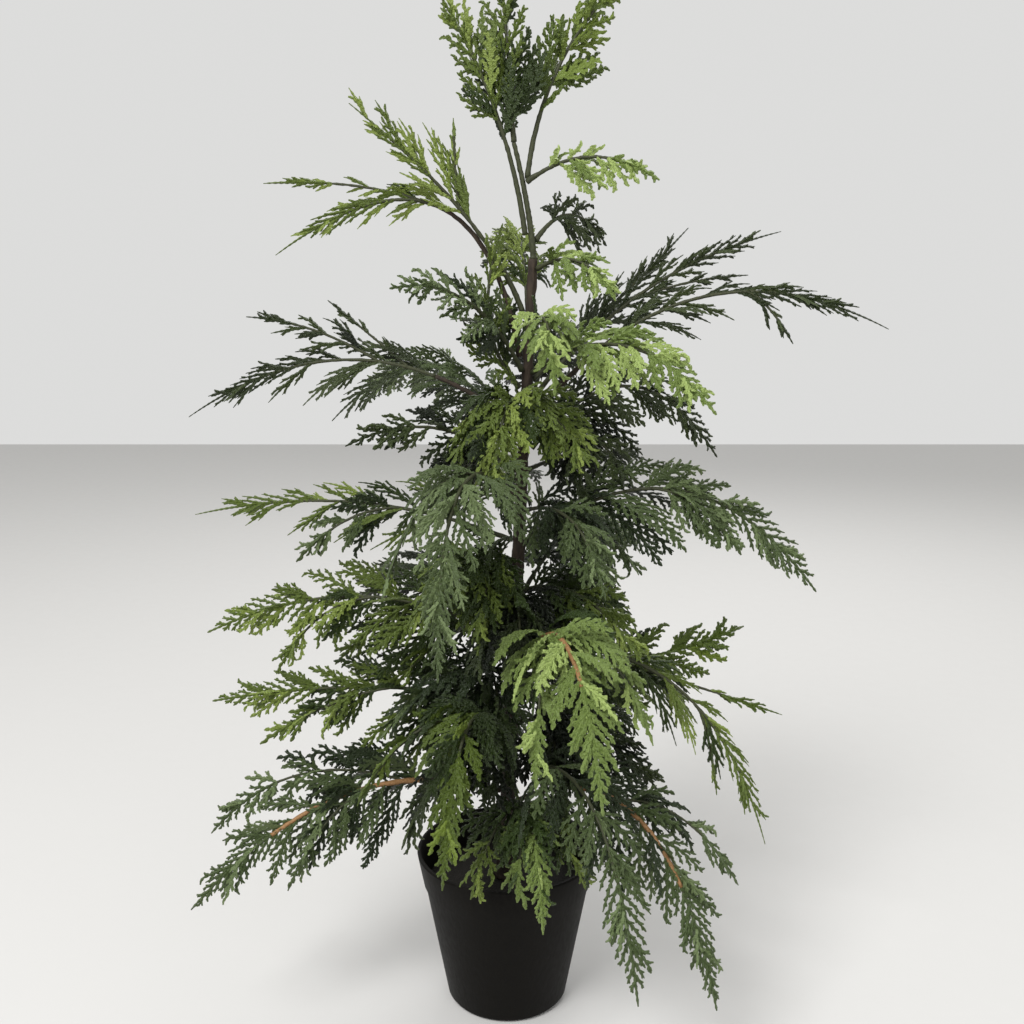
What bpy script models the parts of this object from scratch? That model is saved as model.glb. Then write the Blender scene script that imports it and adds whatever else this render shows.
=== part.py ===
"""Potted artificial northern white cedar.

A dark wire-cored trunk stands in a filled black nursery pot. Moulded cedar sprays leave it on wire
boughs or straight from the bark, and three of them finish a thin green leader. Metres, +Z up, with
the origin at the middle of the pot's flat underside. -Y is the front, the side of the photograph.
"""

import math
import random
from collections import namedtuple

import bmesh
import bpy
from mathutils import Matrix, Vector

GAP = 0.0003
WELD = 0.00002
DOWN = Vector((0.0, 0.0, -1.0))
UP = Vector((0.0, 0.0, 1.0))

# Nursery pot, a standard 16 cm one
POT_HEIGHT = 0.142
POT_BASE_RADIUS = 0.054
POT_RIM_RADIUS = 0.080
POT_WALL = 0.0022
POT_FLOOR = 0.004
POT_FOOT_ROUND = 0.004
RIM_BAND = 0.030
RIM_STEP = 0.0016
POT_SIDES = 24
FILL_LEVEL = 0.114
FILL_DISH = 0.003

# Trunk and the leader on its tip
TRUNK_FOOT = FILL_LEVEL + GAP
TRUNK_TOP = 0.665
TRUNK_FOOT_RADIUS = 0.0072
TRUNK_TOP_RADIUS = 0.0038
TRUNK_LEAN = 0.022
TRUNK_SWAY = 0.003
FLARE_RADIUS = 0.0055
FLARE_HEIGHT = 0.035
LEADER_TOP = 0.757
LEADER_FOOT_RADIUS = 0.0026
LEADER_TOP_RADIUS = 0.0018
LEADER_BEND = 0.016

# Sprays: the curve of a spray is its spine, and the bare foot of a main spray is a bough
SPINE_STEPS = 32
BOUGH_FOOT_RADIUS = 0.0025
BOUGH_TIP_RADIUS = 0.0017
STEM_TIP_RADIUS = 0.0011
SHOOT_RADIUS = 0.0013
TIP_GAP = 0.0005
BOUGH_PARTS = 4
STEM_PARTS = 4
SHOOT_PARTS = 2
STEM_END = 0.64
MAIN_BOUGHS = (
    "upper_left",
    "left_dark",
    "right_long",
    "centre_blue",
    "front_right",
    "bottom_left",
    "bottom_right",
    "right_low",
)

# Fans of twigs, and the planes that they stand in: turn about the stem (degrees), length, how many for
# each frond of the table, and how bare. A frond of the solids is one of these fans.
PLANES = ((0, 1.0, 2.2, 1.0), (35, 0.9, 1.3, 0.9), (-35, 0.9, 1.3, 0.9), (90, 0.75, 0.8, 0.7))
WHIP_PLANES = ((0, 1.0, 1.8, 1.0), (35, 0.8, 0.9, 0.9), (-35, 0.8, 0.9, 0.9))
WHIP_SPREAD = 0.75
FROND_PLANES = (0, 35, 0, -35)
SOLID_SHARE = 0.8
MOST_FRONDS = 4
SHOOT_SHARE = 0.4
MOST_SHOOT_FRONDS = 2
LEAD_START = 0.62
FIRST_FROND = 0.02
LAST_FROND = 0.86
ROOT_ANGLE = math.radians(54)
TIP_ANGLE = math.radians(34)
FROND_TAPER = 0.70
FROND_CROWD = 1.25
FROND_SWEEP = 0.55
FROND_SAG = 0.65
FROND_TWIST = 18
FROND_THICKNESS = 0.0016
RIB_HALF_WIDTH = 0.0015
FROND_STEPS = (0.55, 0.45)
FROND_TEETH = (1.0, 0.0)
LEAD_TEETH = (1.0, 0.72, 0.3)
SHOOT_LEAD_TEETH = (1.0, 0.38)
TOOTH_SHARE = 0.44
TOOTH_ANGLE = math.radians(44)
SHORTER = (1.0, 0.82, 0.66, 0.5)
NARROWER = (1.0, 0.75, 0.5, 0.25)

# The space that a mass keeps to
SPACE_MARGIN = 0.003
LIMB_CLEAR = 0.005
TABLE_CLEAR = 0.010

TINTS = {
    "dark": (0.030, 0.060, 0.032),
    "blue": (0.085, 0.150, 0.100),
    "mid": (0.070, 0.145, 0.038),
    "olive": (0.120, 0.170, 0.020),
    "light": (0.150, 0.260, 0.070),
}
TRUNK_COLOUR = (0.022, 0.016, 0.012)
STEM_COLOUR = (0.085, 0.095, 0.035)
POT_COLOUR = (0.012, 0.011, 0.010)
FILL_COLOUR = (0.015, 0.013, 0.011)

# One line for each spray: where its stem leaves the trunk (height) and which way it goes (degrees
# anticlockwise from +X, seen from above). Bend and tip are the control point and the end of its curve,
# out from the trunk and up. Bare is the share of the curve with no foliage. Above and below are the
# longest fans on its two sides, and roll turns them from level (0) to upright (90). Spread tells how
# wide the fans and their twigs open, from whips (0.5) to open fans (1).
Spray = namedtuple("Spray", "name root azimuth bend tip bare above below roll spread fronds tint")
SPRAYS = (
    Spray("leader_left", 0.684, 188, (0.013, 0.098), (0.069, 0.184), 0.42, 0.065, 0.045, 85, 0.8, 5, "mid"),
    Spray("leader_top", LEADER_TOP, 180, (0.004, 0.070), (0.012, 0.142), 0.10, 0.055, 0.055, 75, 0.8, 5, "mid"),
    Spray("leader_right", 0.729, 24, (0.010, 0.092), (0.088, 0.164), 0.36, 0.050, 0.055, 95, 0.9, 5, "olive"),
    Spray("leader_comb", 0.726, 338, (0.055, 0.036), (0.112, -0.004), 0.15, 0.018, 0.048, 80, 1.0, 4, "light"),
    Spray("leader_dark", 0.680, 43, (0.042, 0.047), (0.089, -0.004), 0.20, 0.035, 0.045, 80, 1.0, 4, "dark"),
    Spray("upper_left_high", 0.622, 195, (0.030, 0.080), (0.152, 0.168), 0.42, 0.075, 0.045, 95, 0.6, 5, "mid"),
    Spray("upper_left", 0.585, 185, (0.035, 0.206), (0.206, 0.076), 0.46, 0.050, 0.045, 95, 0.6, 4, "mid"),
    Spray("centre_left", 0.560, 205, (0.050, 0.050), (0.012, 0.140), 0.12, 0.055, 0.045, 110, 1.0, 5, "mid"),
    Spray("centre_high", 0.657, 318, (0.050, 0.022), (0.082, -0.028), 0.10, 0.035, 0.045, 40, 1.0, 4, "light"),
    Spray("upper_left_light", 0.574, 226, (0.055, 0.080), (0.139, 0.066), 0.14, 0.055, 0.055, 120, 1.0, 5, "blue"),
    Spray("left_dark", 0.528, 176, (0.135, 0.108), (0.289, 0.001), 0.25, 0.065, 0.080, 110, 0.6, 5, "dark"),
    Spray("right_high", 0.551, 15, (0.085, 0.108), (0.226, 0.140), 0.24, 0.065, 0.050, 75, 0.5, 5, "dark"),
    Spray("right_inner", 0.566, 35, (0.091, 0.062), (0.174, 0.130), 0.22, 0.060, 0.050, 60, 0.5, 4, "dark"),
    Spray("right_long", 0.534, 354, (0.122, 0.160), (0.286, 0.075), 0.25, 0.060, 0.065, 70, 0.5, 5, "dark"),
    Spray("right_light", 0.572, 316, (0.101, 0.062), (0.184, -0.024), 0.18, 0.055, 0.070, 40, 0.9, 5, "light"),
    Spray("centre_light", 0.600, 280, (0.080, 0.050), (0.098, -0.042), 0.12, 0.050, 0.055, 10, 0.9, 4, "light"),
    Spray("right_mid_dark", 0.508, 7, (0.088, 0.112), (0.167, -0.017), 0.12, 0.055, 0.070, 70, 0.8, 5, "dark"),
    Spray("right_back_dark", 0.489, 41, (0.077, 0.020), (0.152, -0.006), 0.10, 0.055, 0.055, 60, 0.8, 4, "dark"),
    Spray("right_blue", 0.428, 346, (0.138, 0.116), (0.246, -0.035), 0.12, 0.070, 0.090, 65, 0.8, 5, "blue"),
    Spray("mid_left_dark", 0.489, 204, (0.067, 0.065), (0.147, 0.029), 0.10, 0.060, 0.060, 120, 0.8, 4, "dark"),
    Spray("mid_left", 0.428, 176, (0.133, 0.054), (0.281, 0.018), 0.12, 0.070, 0.085, 110, 0.7, 5, "mid"),
    Spray("centre_blue", 0.463, 251, (0.185, 0.115), (0.180, -0.115), 0.20, 0.085, 0.075, 0, 0.9, 5, "blue"),
    Spray("centre_right", 0.455, 303, (0.085, 0.030), (0.115, -0.055), 0.08, 0.065, 0.065, 20, 1.0, 5, "blue"),
    Spray("left_low_1", 0.338, 184, (0.122, 0.078), (0.262, 0.010), 0.12, 0.080, 0.090, 115, 0.9, 5, "mid"),
    Spray("left_low_2", 0.282, 187, (0.124, 0.029), (0.254, 0.010), 0.10, 0.080, 0.085, 115, 0.9, 5, "mid"),
    Spray("bottom_left", 0.197, 201, (0.150, 0.070), (0.278, -0.066), 0.24, 0.085, 0.090, 115, 1.0, 5, "blue"),
    Spray("front_left", 0.240, 254, (0.135, 0.150), (0.177, -0.055), 0.14, 0.075, 0.080, 0, 0.8, 5, "olive"),
    Spray("front_bottom", 0.165, 282, (0.095, 0.120), (0.133, -0.038), 0.18, 0.050, 0.050, 5, 1.0, 4, "light"),
    Spray("front_right", 0.292, 286, (0.148, 0.180), (0.222, -0.015), 0.22, 0.085, 0.085, 15, 1.0, 5, "light"),
    Spray("bottom_front", 0.212, 295, (0.170, 0.125), (0.222, -0.107), 0.14, 0.080, 0.080, 15, 0.9, 5, "blue"),
    Spray("bottom_right", 0.187, 313, (0.173, 0.128), (0.232, -0.108), 0.22, 0.080, 0.085, 25, 0.9, 5, "blue"),
    Spray("right_low", 0.329, 344, (0.168, 0.040), (0.221, -0.170), 0.28, 0.060, 0.085, 50, 0.6, 5, "mid"),
    Spray("right_low_up", 0.305, 8, (0.106, -0.002), (0.206, 0.036), 0.10, 0.075, 0.085, 70, 0.9, 5, "olive"),
    Spray("inner_high", 0.545, 254, (0.062, 0.032), (0.098, -0.070), 0.08, 0.070, 0.070, 10, 0.9, 7, "mid"),
    Spray("inner_middle", 0.410, 224, (0.065, 0.035), (0.120, -0.045), 0.08, 0.070, 0.070, 20, 0.9, 7, "mid"),
    Spray("inner_front", 0.375, 272, (0.060, 0.030), (0.110, -0.055), 0.08, 0.070, 0.070, 5, 0.9, 7, "dark"),
    Spray("inner_right", 0.384, 324, (0.065, 0.030), (0.125, -0.050), 0.08, 0.070, 0.070, 20, 0.9, 7, "mid"),
    Spray("inner_left", 0.310, 212, (0.065, 0.030), (0.130, -0.045), 0.08, 0.070, 0.070, 30, 0.9, 7, "blue"),
    Spray("inner_low", 0.258, 230, (0.072, 0.030), (0.138, -0.078), 0.08, 0.070, 0.070, 20, 0.9, 7, "dark"),
    Spray("inner_right_low", 0.262, 338, (0.070, 0.025), (0.135, -0.050), 0.08, 0.070, 0.070, 30, 0.9, 7, "dark"),
    Spray("back_high", 0.610, 96, (0.060, 0.120), (0.165, 0.060), 0.14, 0.060, 0.060, 30, 0.8, 7, "mid"),
    Spray("back_left_high", 0.515, 134, (0.120, 0.110), (0.225, 0.010), 0.10, 0.080, 0.080, 30, 0.8, 7, "blue"),
    Spray("back_right_high", 0.535, 72, (0.100, 0.110), (0.215, 0.040), 0.10, 0.070, 0.070, 30, 0.8, 7, "dark"),
    Spray("back_middle", 0.440, 104, (0.130, 0.100), (0.235, -0.020), 0.10, 0.080, 0.080, 25, 0.9, 7, "mid"),
    Spray("back_right_mid", 0.375, 58, (0.130, 0.100), (0.245, -0.010), 0.10, 0.085, 0.085, 30, 0.9, 7, "blue"),
    Spray("back_left_low", 0.330, 130, (0.130, 0.110), (0.255, -0.030), 0.10, 0.085, 0.085, 25, 0.9, 7, "dark"),
    Spray("back_right_low", 0.235, 40, (0.140, 0.110), (0.255, -0.050), 0.10, 0.085, 0.085, 30, 0.9, 7, "mid"),
    Spray("back_bottom", 0.190, 98, (0.150, 0.120), (0.250, -0.060), 0.10, 0.085, 0.085, 20, 0.9, 7, "blue"),
)

# Side shoots of a spray, in lines of the same kind: the name is that of their spray, and root is the
# share of its curve where they leave it.
SHOOTS = (
    Spray("upper_left", 0.50, 183, (0.060, 0.022), (0.141, 0.016), 0.05, 0.030, 0.030, 95, 0.6, 3, "mid"),
    Spray("left_dark", 0.42, 178, (0.055, 0.034), (0.109, 0.037), 0.05, 0.045, 0.050, 110, 0.6, 3, "dark"),
    Spray("right_long", 0.64, 350, (0.018, -0.006), (0.042, -0.048), 0.05, 0.020, 0.030, 70, 0.6, 2, "dark"),
    Spray("right_high", 0.45, 8, (0.050, 0.018), (0.100, 0.020), 0.05, 0.030, 0.035, 75, 0.5, 2, "dark"),
    Spray("right_blue", 0.40, 338, (0.045, 0.000), (0.080, -0.055), 0.05, 0.045, 0.045, 65, 0.8, 3, "blue"),
    Spray("right_blue", 0.10, 10, (0.040, 0.000), (0.080, -0.060), 0.05, 0.050, 0.050, 50, 0.9, 3, "blue"),
    Spray("right_mid_dark", 0.12, 334, (0.040, 0.000), (0.075, -0.060), 0.05, 0.050, 0.050, 40, 0.9, 3, "dark"),
    Spray("mid_left_dark", 0.15, 226, (0.040, 0.000), (0.070, -0.055), 0.05, 0.050, 0.050, 60, 0.9, 3, "dark"),
    Spray("mid_left", 0.35, 190, (0.050, 0.005), (0.095, -0.048), 0.05, 0.050, 0.050, 110, 0.9, 3, "blue"),
    Spray("left_low_1", 0.45, 188, (0.055, 0.000), (0.090, -0.072), 0.05, 0.045, 0.045, 115, 0.9, 3, "mid"),
    Spray("left_low_1", 0.10, 202, (0.040, -0.005), (0.080, -0.050), 0.05, 0.055, 0.055, 70, 0.9, 3, "mid"),
    Spray("left_low_2", 0.40, 194, (0.060, -0.005), (0.115, -0.042), 0.05, 0.045, 0.045, 115, 0.9, 3, "mid"),
    Spray("left_low_2", 0.10, 218, (0.045, -0.010), (0.075, -0.045), 0.05, 0.055, 0.055, 70, 0.9, 3, "mid"),
    Spray("bottom_left", 0.30, 190, (0.100, 0.042), (0.165, -0.034), 0.05, 0.055, 0.055, 115, 1.0, 4, "blue"),
    Spray("bottom_left", 0.40, 214, (0.050, -0.005), (0.085, -0.080), 0.05, 0.045, 0.045, 115, 1.0, 3, "blue"),
    Spray("front_left", 0.25, 202, (0.070, 0.020), (0.115, -0.068), 0.05, 0.045, 0.045, 40, 0.9, 3, "olive"),
    Spray("right_low_up", 0.45, 352, (0.070, -0.020), (0.142, -0.042), 0.05, 0.030, 0.030, 60, 0.5, 2, "olive"),
    Spray("centre_blue", 0.30, 205, (0.055, 0.010), (0.085, -0.110), 0.05, 0.055, 0.055, 20, 0.9, 3, "blue"),
    Spray("front_right", 0.35, 332, (0.060, 0.020), (0.095, -0.090), 0.05, 0.050, 0.050, 15, 1.0, 3, "light"),
    Spray("front_right", 0.35, 262, (0.060, 0.010), (0.085, -0.112), 0.05, 0.050, 0.050, 15, 1.0, 3, "light"),
    Spray("bottom_right", 0.40, 345, (0.062, 0.012), (0.105, -0.068), 0.05, 0.045, 0.045, 25, 0.9, 3, "blue"),
    Spray("centre_right", 0.15, 345, (0.035, 0.000), (0.068, -0.075), 0.05, 0.055, 0.055, 20, 1.0, 4, "blue"),
    Spray("right_mid_dark", 0.10, 298, (0.030, 0.000), (0.050, -0.070), 0.05, 0.055, 0.055, 10, 0.9, 4, "dark"),
    Spray("left_low_1", 0.25, 172, (0.050, -0.005), (0.095, -0.060), 0.05, 0.050, 0.050, 110, 0.9, 3, "mid"),
    Spray("front_bottom", 0.24, 238, (0.045, 0.010), (0.080, -0.060), 0.05, 0.055, 0.055, 5, 1.0, 4, "mid"),
    Spray("front_bottom", 0.26, 314, (0.045, 0.008), (0.080, -0.055), 0.05, 0.050, 0.050, 5, 1.0, 4, "mid"),
    Spray("inner_low", 0.30, 252, (0.040, -0.015), (0.065, -0.095), 0.05, 0.050, 0.050, 5, 1.0, 3, "mid"),
    Spray("inner_right_low", 0.30, 272, (0.040, -0.015), (0.062, -0.090), 0.05, 0.050, 0.050, 5, 1.0, 3, "blue"),
    Spray("upper_left_high", 0.50, 178, (0.004, 0.030), (0.004, 0.072), 0.05, 0.022, 0.022, 95, 0.5, 2, "mid"),
    Spray("left_dark", 0.33, 176, (0.033, 0.028), (0.068, 0.056), 0.05, 0.022, 0.022, 110, 0.5, 2, "dark"),
    Spray("right_low", 0.58, 336, (0.012, -0.022), (0.020, -0.085), 0.05, 0.024, 0.024, 50, 0.5, 2, "mid"),
    Spray("front_bottom", 0.46, 254, (0.024, 0.000), (0.036, -0.078), 0.05, 0.045, 0.045, 5, 1.0, 3, "light"),
    Spray("inner_high", 0.12, 216, (0.040, 0.000), (0.070, -0.055), 0.05, 0.060, 0.060, 30, 0.9, 5, "mid"),
    Spray("inner_middle", 0.30, 288, (0.028, -0.010), (0.040, -0.090), 0.05, 0.060, 0.060, 10, 0.9, 5, "mid"),
    Spray("inner_high", 0.12, 322, (0.040, 0.000), (0.075, -0.055), 0.05, 0.060, 0.060, 30, 0.9, 5, "mid"),
    Spray("inner_middle", 0.12, 256, (0.040, 0.000), (0.075, -0.060), 0.05, 0.060, 0.060, 20, 0.9, 5, "mid"),
    Spray("inner_front", 0.12, 238, (0.040, 0.000), (0.070, -0.055), 0.05, 0.060, 0.060, 20, 0.9, 5, "dark"),
    Spray("inner_front", 0.12, 300, (0.040, 0.000), (0.075, -0.060), 0.05, 0.060, 0.060, 20, 0.9, 5, "dark"),
    Spray("inner_right", 0.12, 12, (0.045, 0.000), (0.080, -0.030), 0.05, 0.060, 0.060, 40, 0.9, 5, "mid"),
    Spray("inner_left", 0.12, 280, (0.040, 0.000), (0.070, -0.055), 0.05, 0.060, 0.060, 20, 0.9, 5, "blue"),
    Spray("inner_low", 0.12, 272, (0.045, 0.000), (0.070, -0.045), 0.05, 0.060, 0.060, 20, 0.9, 5, "dark"),
    Spray("inner_right_low", 0.12, 294, (0.045, 0.000), (0.070, -0.045), 0.05, 0.060, 0.060, 20, 0.9, 5, "dark"),
)


def blend(first, last, share):
    return first + (last - first) * share


def axis_point(height):
    """The middle of the trunk, or of the leader above it, at a height."""
    if height > TRUNK_TOP:
        share = (height - TRUNK_TOP) / (LEADER_TOP - TRUNK_TOP)
        return Vector((TRUNK_LEAN - LEADER_BEND * share**1.5, 0.0, height))
    share = max(0.0, height - TRUNK_FOOT - FLARE_HEIGHT) / (TRUNK_TOP - TRUNK_FOOT - FLARE_HEIGHT)
    sway = TRUNK_SWAY * math.sin(2.0 * math.pi * share)
    return Vector((TRUNK_LEAN * share**1.2, sway, height))


def axis_radius(height):
    """The trunk's radius at a height, with the flare at its foot, or the leader's."""
    if height > TRUNK_TOP:
        share = (height - TRUNK_TOP) / (LEADER_TOP - TRUNK_TOP)
        return blend(LEADER_FOOT_RADIUS, LEADER_TOP_RADIUS, share)
    share = (height - TRUNK_FOOT) / (TRUNK_TOP - TRUNK_FOOT)
    above_foot = (height - TRUNK_FOOT) / FLARE_HEIGHT
    return blend(TRUNK_FOOT_RADIUS, TRUNK_TOP_RADIUS, share) + FLARE_RADIUS * max(0.0, 1.0 - above_foot) ** 2


def pot_radius(height):
    """The outside of the pot's straight side at a height."""
    return blend(POT_BASE_RADIUS, POT_RIM_RADIUS, height / POT_HEIGHT)


def outward(spray):
    return Vector((math.cos(math.radians(spray.azimuth)), math.sin(math.radians(spray.azimuth)), 0.0))


def spine(spray, parent=None):
    """Points along a spray's curve, from the bark to its furthest tip, or a shoot's from its spray."""
    run, up = Vector(spray.bend), Vector(spray.tip)
    first = outward(spray) * run.x + UP * run.y
    if parent:
        root = point_along(parent, spray.root)
    elif spray.root >= LEADER_TOP:
        root = axis_point(LEADER_TOP) + UP * GAP
    else:
        lean = abs(first.normalized().z)
        root = axis_point(spray.root) + outward(spray) * (
            axis_radius(spray.root) + GAP + BOUGH_FOOT_RADIUS * lean
        )
    last = outward(spray) * up.x + UP * up.y
    shares = [step / SPINE_STEPS for step in range(SPINE_STEPS + 1)]
    return [root + first * (2 * t * (1 - t)) + last * (t * t) for t in shares]


def point_along(points, share):
    place = min(max(share, 0.0), 1.0) * (len(points) - 1)
    step = min(int(place), len(points) - 2)
    return points[step].lerp(points[step + 1], place - step)


def heading_along(points, share):
    step = min(int(min(max(share, 0.0), 1.0) * (len(points) - 1)), len(points) - 2)
    return (points[step + 1] - points[step]).normalized()


def length_of(points):
    return sum((last - first).length for first, last in zip(points, points[1:]))


def bough_share(spray):
    """How much of a spray is its bough: all that is bare of a main spray, or none."""
    return spray.bare if spray.name in MAIN_BOUGHS and spray not in SHOOTS else 0.0


def radius_along(spray, share):
    """A bough tapers to its tip, and the stem that follows tapers on from there."""
    if spray in SHOOTS:
        return blend(SHOOT_RADIUS, STEM_TIP_RADIUS, share / STEM_END)
    if share < spray.bare:
        return blend(BOUGH_FOOT_RADIUS, BOUGH_TIP_RADIUS, share / spray.bare)
    return blend(BOUGH_TIP_RADIUS, STEM_TIP_RADIUS, (share - spray.bare) / (STEM_END - spray.bare))


def limb(name, points, radii, resolution):
    """A round tapering limb with flat ends."""
    curve = bpy.data.curves.new(name, "CURVE")
    curve.dimensions = "3D"
    curve.bevel_depth = 1.0
    curve.bevel_resolution = resolution
    curve.use_fill_caps = True
    spline = curve.splines.new("POLY")
    spline.points.add(len(points) - 1)
    for target, point, radius in zip(spline.points, points, radii):
        target.co = (*point, 1.0)
        target.radius = radius
    return bpy.data.objects.new(name, curve)


def as_mesh(curve_object):
    """The same limb as a welded mesh, which a Boolean can take."""
    evaluated = curve_object.evaluated_get(bpy.context.evaluated_depsgraph_get())
    mesh = bpy.data.meshes.new_from_object(evaluated)
    name, matrix = curve_object.name, curve_object.matrix_world.copy()
    bpy.data.objects.remove(curve_object)
    welded = bmesh.new()
    welded.from_mesh(mesh)
    bmesh.ops.remove_doubles(welded, verts=welded.verts, dist=1e-6)
    welded.to_mesh(mesh)
    welded.free()
    made = bpy.data.objects.new(name, mesh)
    made.matrix_world = matrix
    return made


def turned(name, profile, steps):
    """A solid of revolution, from a profile that runs down its outer side."""
    mesh = bpy.data.meshes.new(name)
    mesh.from_pydata([(r, 0.0, z) for r, z in profile], [(i, i + 1) for i in range(len(profile) - 1)], [])
    made = bpy.data.objects.new(name, mesh)
    screw = made.modifiers.new("Turn", "SCREW")
    screw.axis = "Z"
    screw.steps = screw.render_steps = steps
    screw.use_merge_vertices = True
    screw.merge_threshold = 0.0001
    return made


def pot():
    rim_foot = POT_HEIGHT - RIM_BAND
    band = POT_RIM_RADIUS - pot_radius(POT_HEIGHT) + RIM_STEP
    return turned(
        "pot",
        (
            (0.0, POT_FLOOR),
            (pot_radius(POT_FLOOR) - POT_WALL, POT_FLOOR),
            (pot_radius(rim_foot) - POT_WALL, rim_foot),
            (pot_radius(POT_HEIGHT) - POT_WALL, POT_HEIGHT - POT_WALL / 2),
            (pot_radius(POT_HEIGHT) - POT_WALL / 2, POT_HEIGHT),
            (pot_radius(POT_HEIGHT) + band - RIM_STEP / 2, POT_HEIGHT),
            (pot_radius(POT_HEIGHT) + band, POT_HEIGHT - RIM_STEP),
            (pot_radius(rim_foot) + band, rim_foot),
            (pot_radius(rim_foot), rim_foot - RIM_STEP),
            (pot_radius(POT_FOOT_ROUND), POT_FOOT_ROUND),
            (pot_radius(0.0) - POT_FOOT_ROUND / 3, POT_FOOT_ROUND / 3),
            (pot_radius(0.0) - POT_FOOT_ROUND, 0.0),
            (0.0, 0.0),
        ),
        POT_SIDES,
    )


def fill():
    """The weighted fill, level round the trunk and dished towards the wall."""
    inner = POT_WALL + 2 * GAP
    foot = POT_FLOOR + GAP
    edge = FILL_LEVEL - FILL_DISH
    return turned(
        "fill",
        (
            (0.0, FILL_LEVEL),
            (pot_radius(edge) * 0.55, FILL_LEVEL),
            (pot_radius(edge) - inner, edge),
            (pot_radius(foot) - inner, foot),
            (0.0, foot),
        ),
        POT_SIDES,
    )


def trunk():
    heights = [TRUNK_FOOT + FLARE_HEIGHT * share for share in (0.0, 0.25, 0.55, 1.0)]
    heights += [blend(TRUNK_FOOT + FLARE_HEIGHT, TRUNK_TOP, share / 9) for share in range(1, 10)]
    return limb("trunk", [axis_point(z) for z in heights], [axis_radius(z) for z in heights], 2)


def leader():
    heights = [blend(TRUNK_TOP + GAP, LEADER_TOP, share / 5) for share in range(6)]
    return limb("leader", [axis_point(z) for z in heights], [axis_radius(z) for z in heights], 1)


def stretch(name, spray, points, first, last, parts):
    """A limb along one stretch of a spray's curve."""
    shares = [blend(first, last, step / parts) for step in range(parts + 1)]
    return limb(
        name,
        [point_along(points, share) for share in shares],
        [radius_along(spray, share) for share in shares],
        1 if last < STEM_END else 0,
    )


def bough(spray, points):
    return stretch("bough_" + spray.name, spray, points, 0.0, bough_share(spray), BOUGH_PARTS)


def stem(spray, points):
    """The middle of a mass, from just clear of its bough's tip or of the bark."""
    share = bough_share(spray)
    start = share + TIP_GAP / length_of(points) if share else 0.0
    return stretch("mass_" + spray.name, spray, points, start, STEM_END, STEM_PARTS)


def across(spray, heading, turn):
    """The way that the fans of the upper side point, square to the stem."""
    level = UP.cross(outward(spray)).normalized()
    side = Matrix.Rotation(math.radians(spray.roll + turn), 3, heading) @ level
    return (side - heading * side.dot(heading)).normalized()


Fan = namedtuple("Fan", "share side angle length twist turn")


def fans_of(spray):
    """All fans of a spray, alternating along its stem in each of the planes, by a seeded rule."""
    dice = random.Random(f"{spray.name} {spray.azimuth}")
    found = []
    for turn, scale, more, bare in WHIP_PLANES if spray.spread < WHIP_SPREAD else PLANES:
        places = max(2, round(spray.fronds * more))
        for place in range(places):
            along = ((place + dice.uniform(0.3, 0.7)) / places) ** FROND_CROWD
            side = 1 if place % 2 == 0 else -1
            reach = spray.above if side > 0 else spray.below
            found.append(
                Fan(
                    blend(spray.bare * bare, 1.0, blend(FIRST_FROND, LAST_FROND, along)),
                    side,
                    blend(ROOT_ANGLE, TIP_ANGLE, along) * spray.spread * dice.uniform(0.85, 1.15),
                    reach * scale * (1.0 - FROND_TAPER * along) * dice.uniform(0.85, 1.1),
                    math.radians(dice.uniform(-FROND_TWIST, FROND_TWIST)),
                    turn,
                )
            )
    return found


def fronds_of(spray):
    """The fans that are solid: evenly along the spray, on its two sides and from its planes in turn."""
    fans = fans_of(spray)
    if spray in SHOOTS:
        places = min(MOST_SHOOT_FRONDS, round(spray.fronds * SHOOT_SHARE))
    else:
        places = min(MOST_FRONDS, round(spray.fronds * SOLID_SHARE))
    found = []
    for place in range(places):
        aim = blend(spray.bare, 1.0, blend(FIRST_FROND, LAST_FROND, (place + 0.5) / places))
        turn = FROND_PLANES[place % len(FROND_PLANES)]
        side = 1 if place % 2 == 0 else -1
        near = [fan for fan in fans if fan.turn == turn and fan.side == side and fan not in found]
        if near:
            found.append(min(near, key=lambda fan: abs(fan.share - aim)))
    return found


def rib_of(spray, points, frond, scale):
    """A fan's rib: out from the stem, swept to the way the tip points, and sagging where that hangs."""
    forward = heading_along(points, frond.share)
    end = heading_along(points, 1.0)
    sag = FROND_SAG * (1.0 - end.z) / 2
    aside = across(spray, forward, frond.turn) * frond.side
    heading = forward * math.cos(frond.angle) + aside * math.sin(frond.angle)
    rib, done = [point_along(points, frond.share)], 0.0
    for step in FROND_STEPS:
        bent = (done + step / 2) * frond.length / max(spray.above, spray.below)
        along = (heading.lerp(end, FROND_SWEEP * bent) + DOWN * sag * bent).normalized()
        rib.append(rib[-1] + along * (frond.length * scale * step))
        done += step
    return rib


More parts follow.
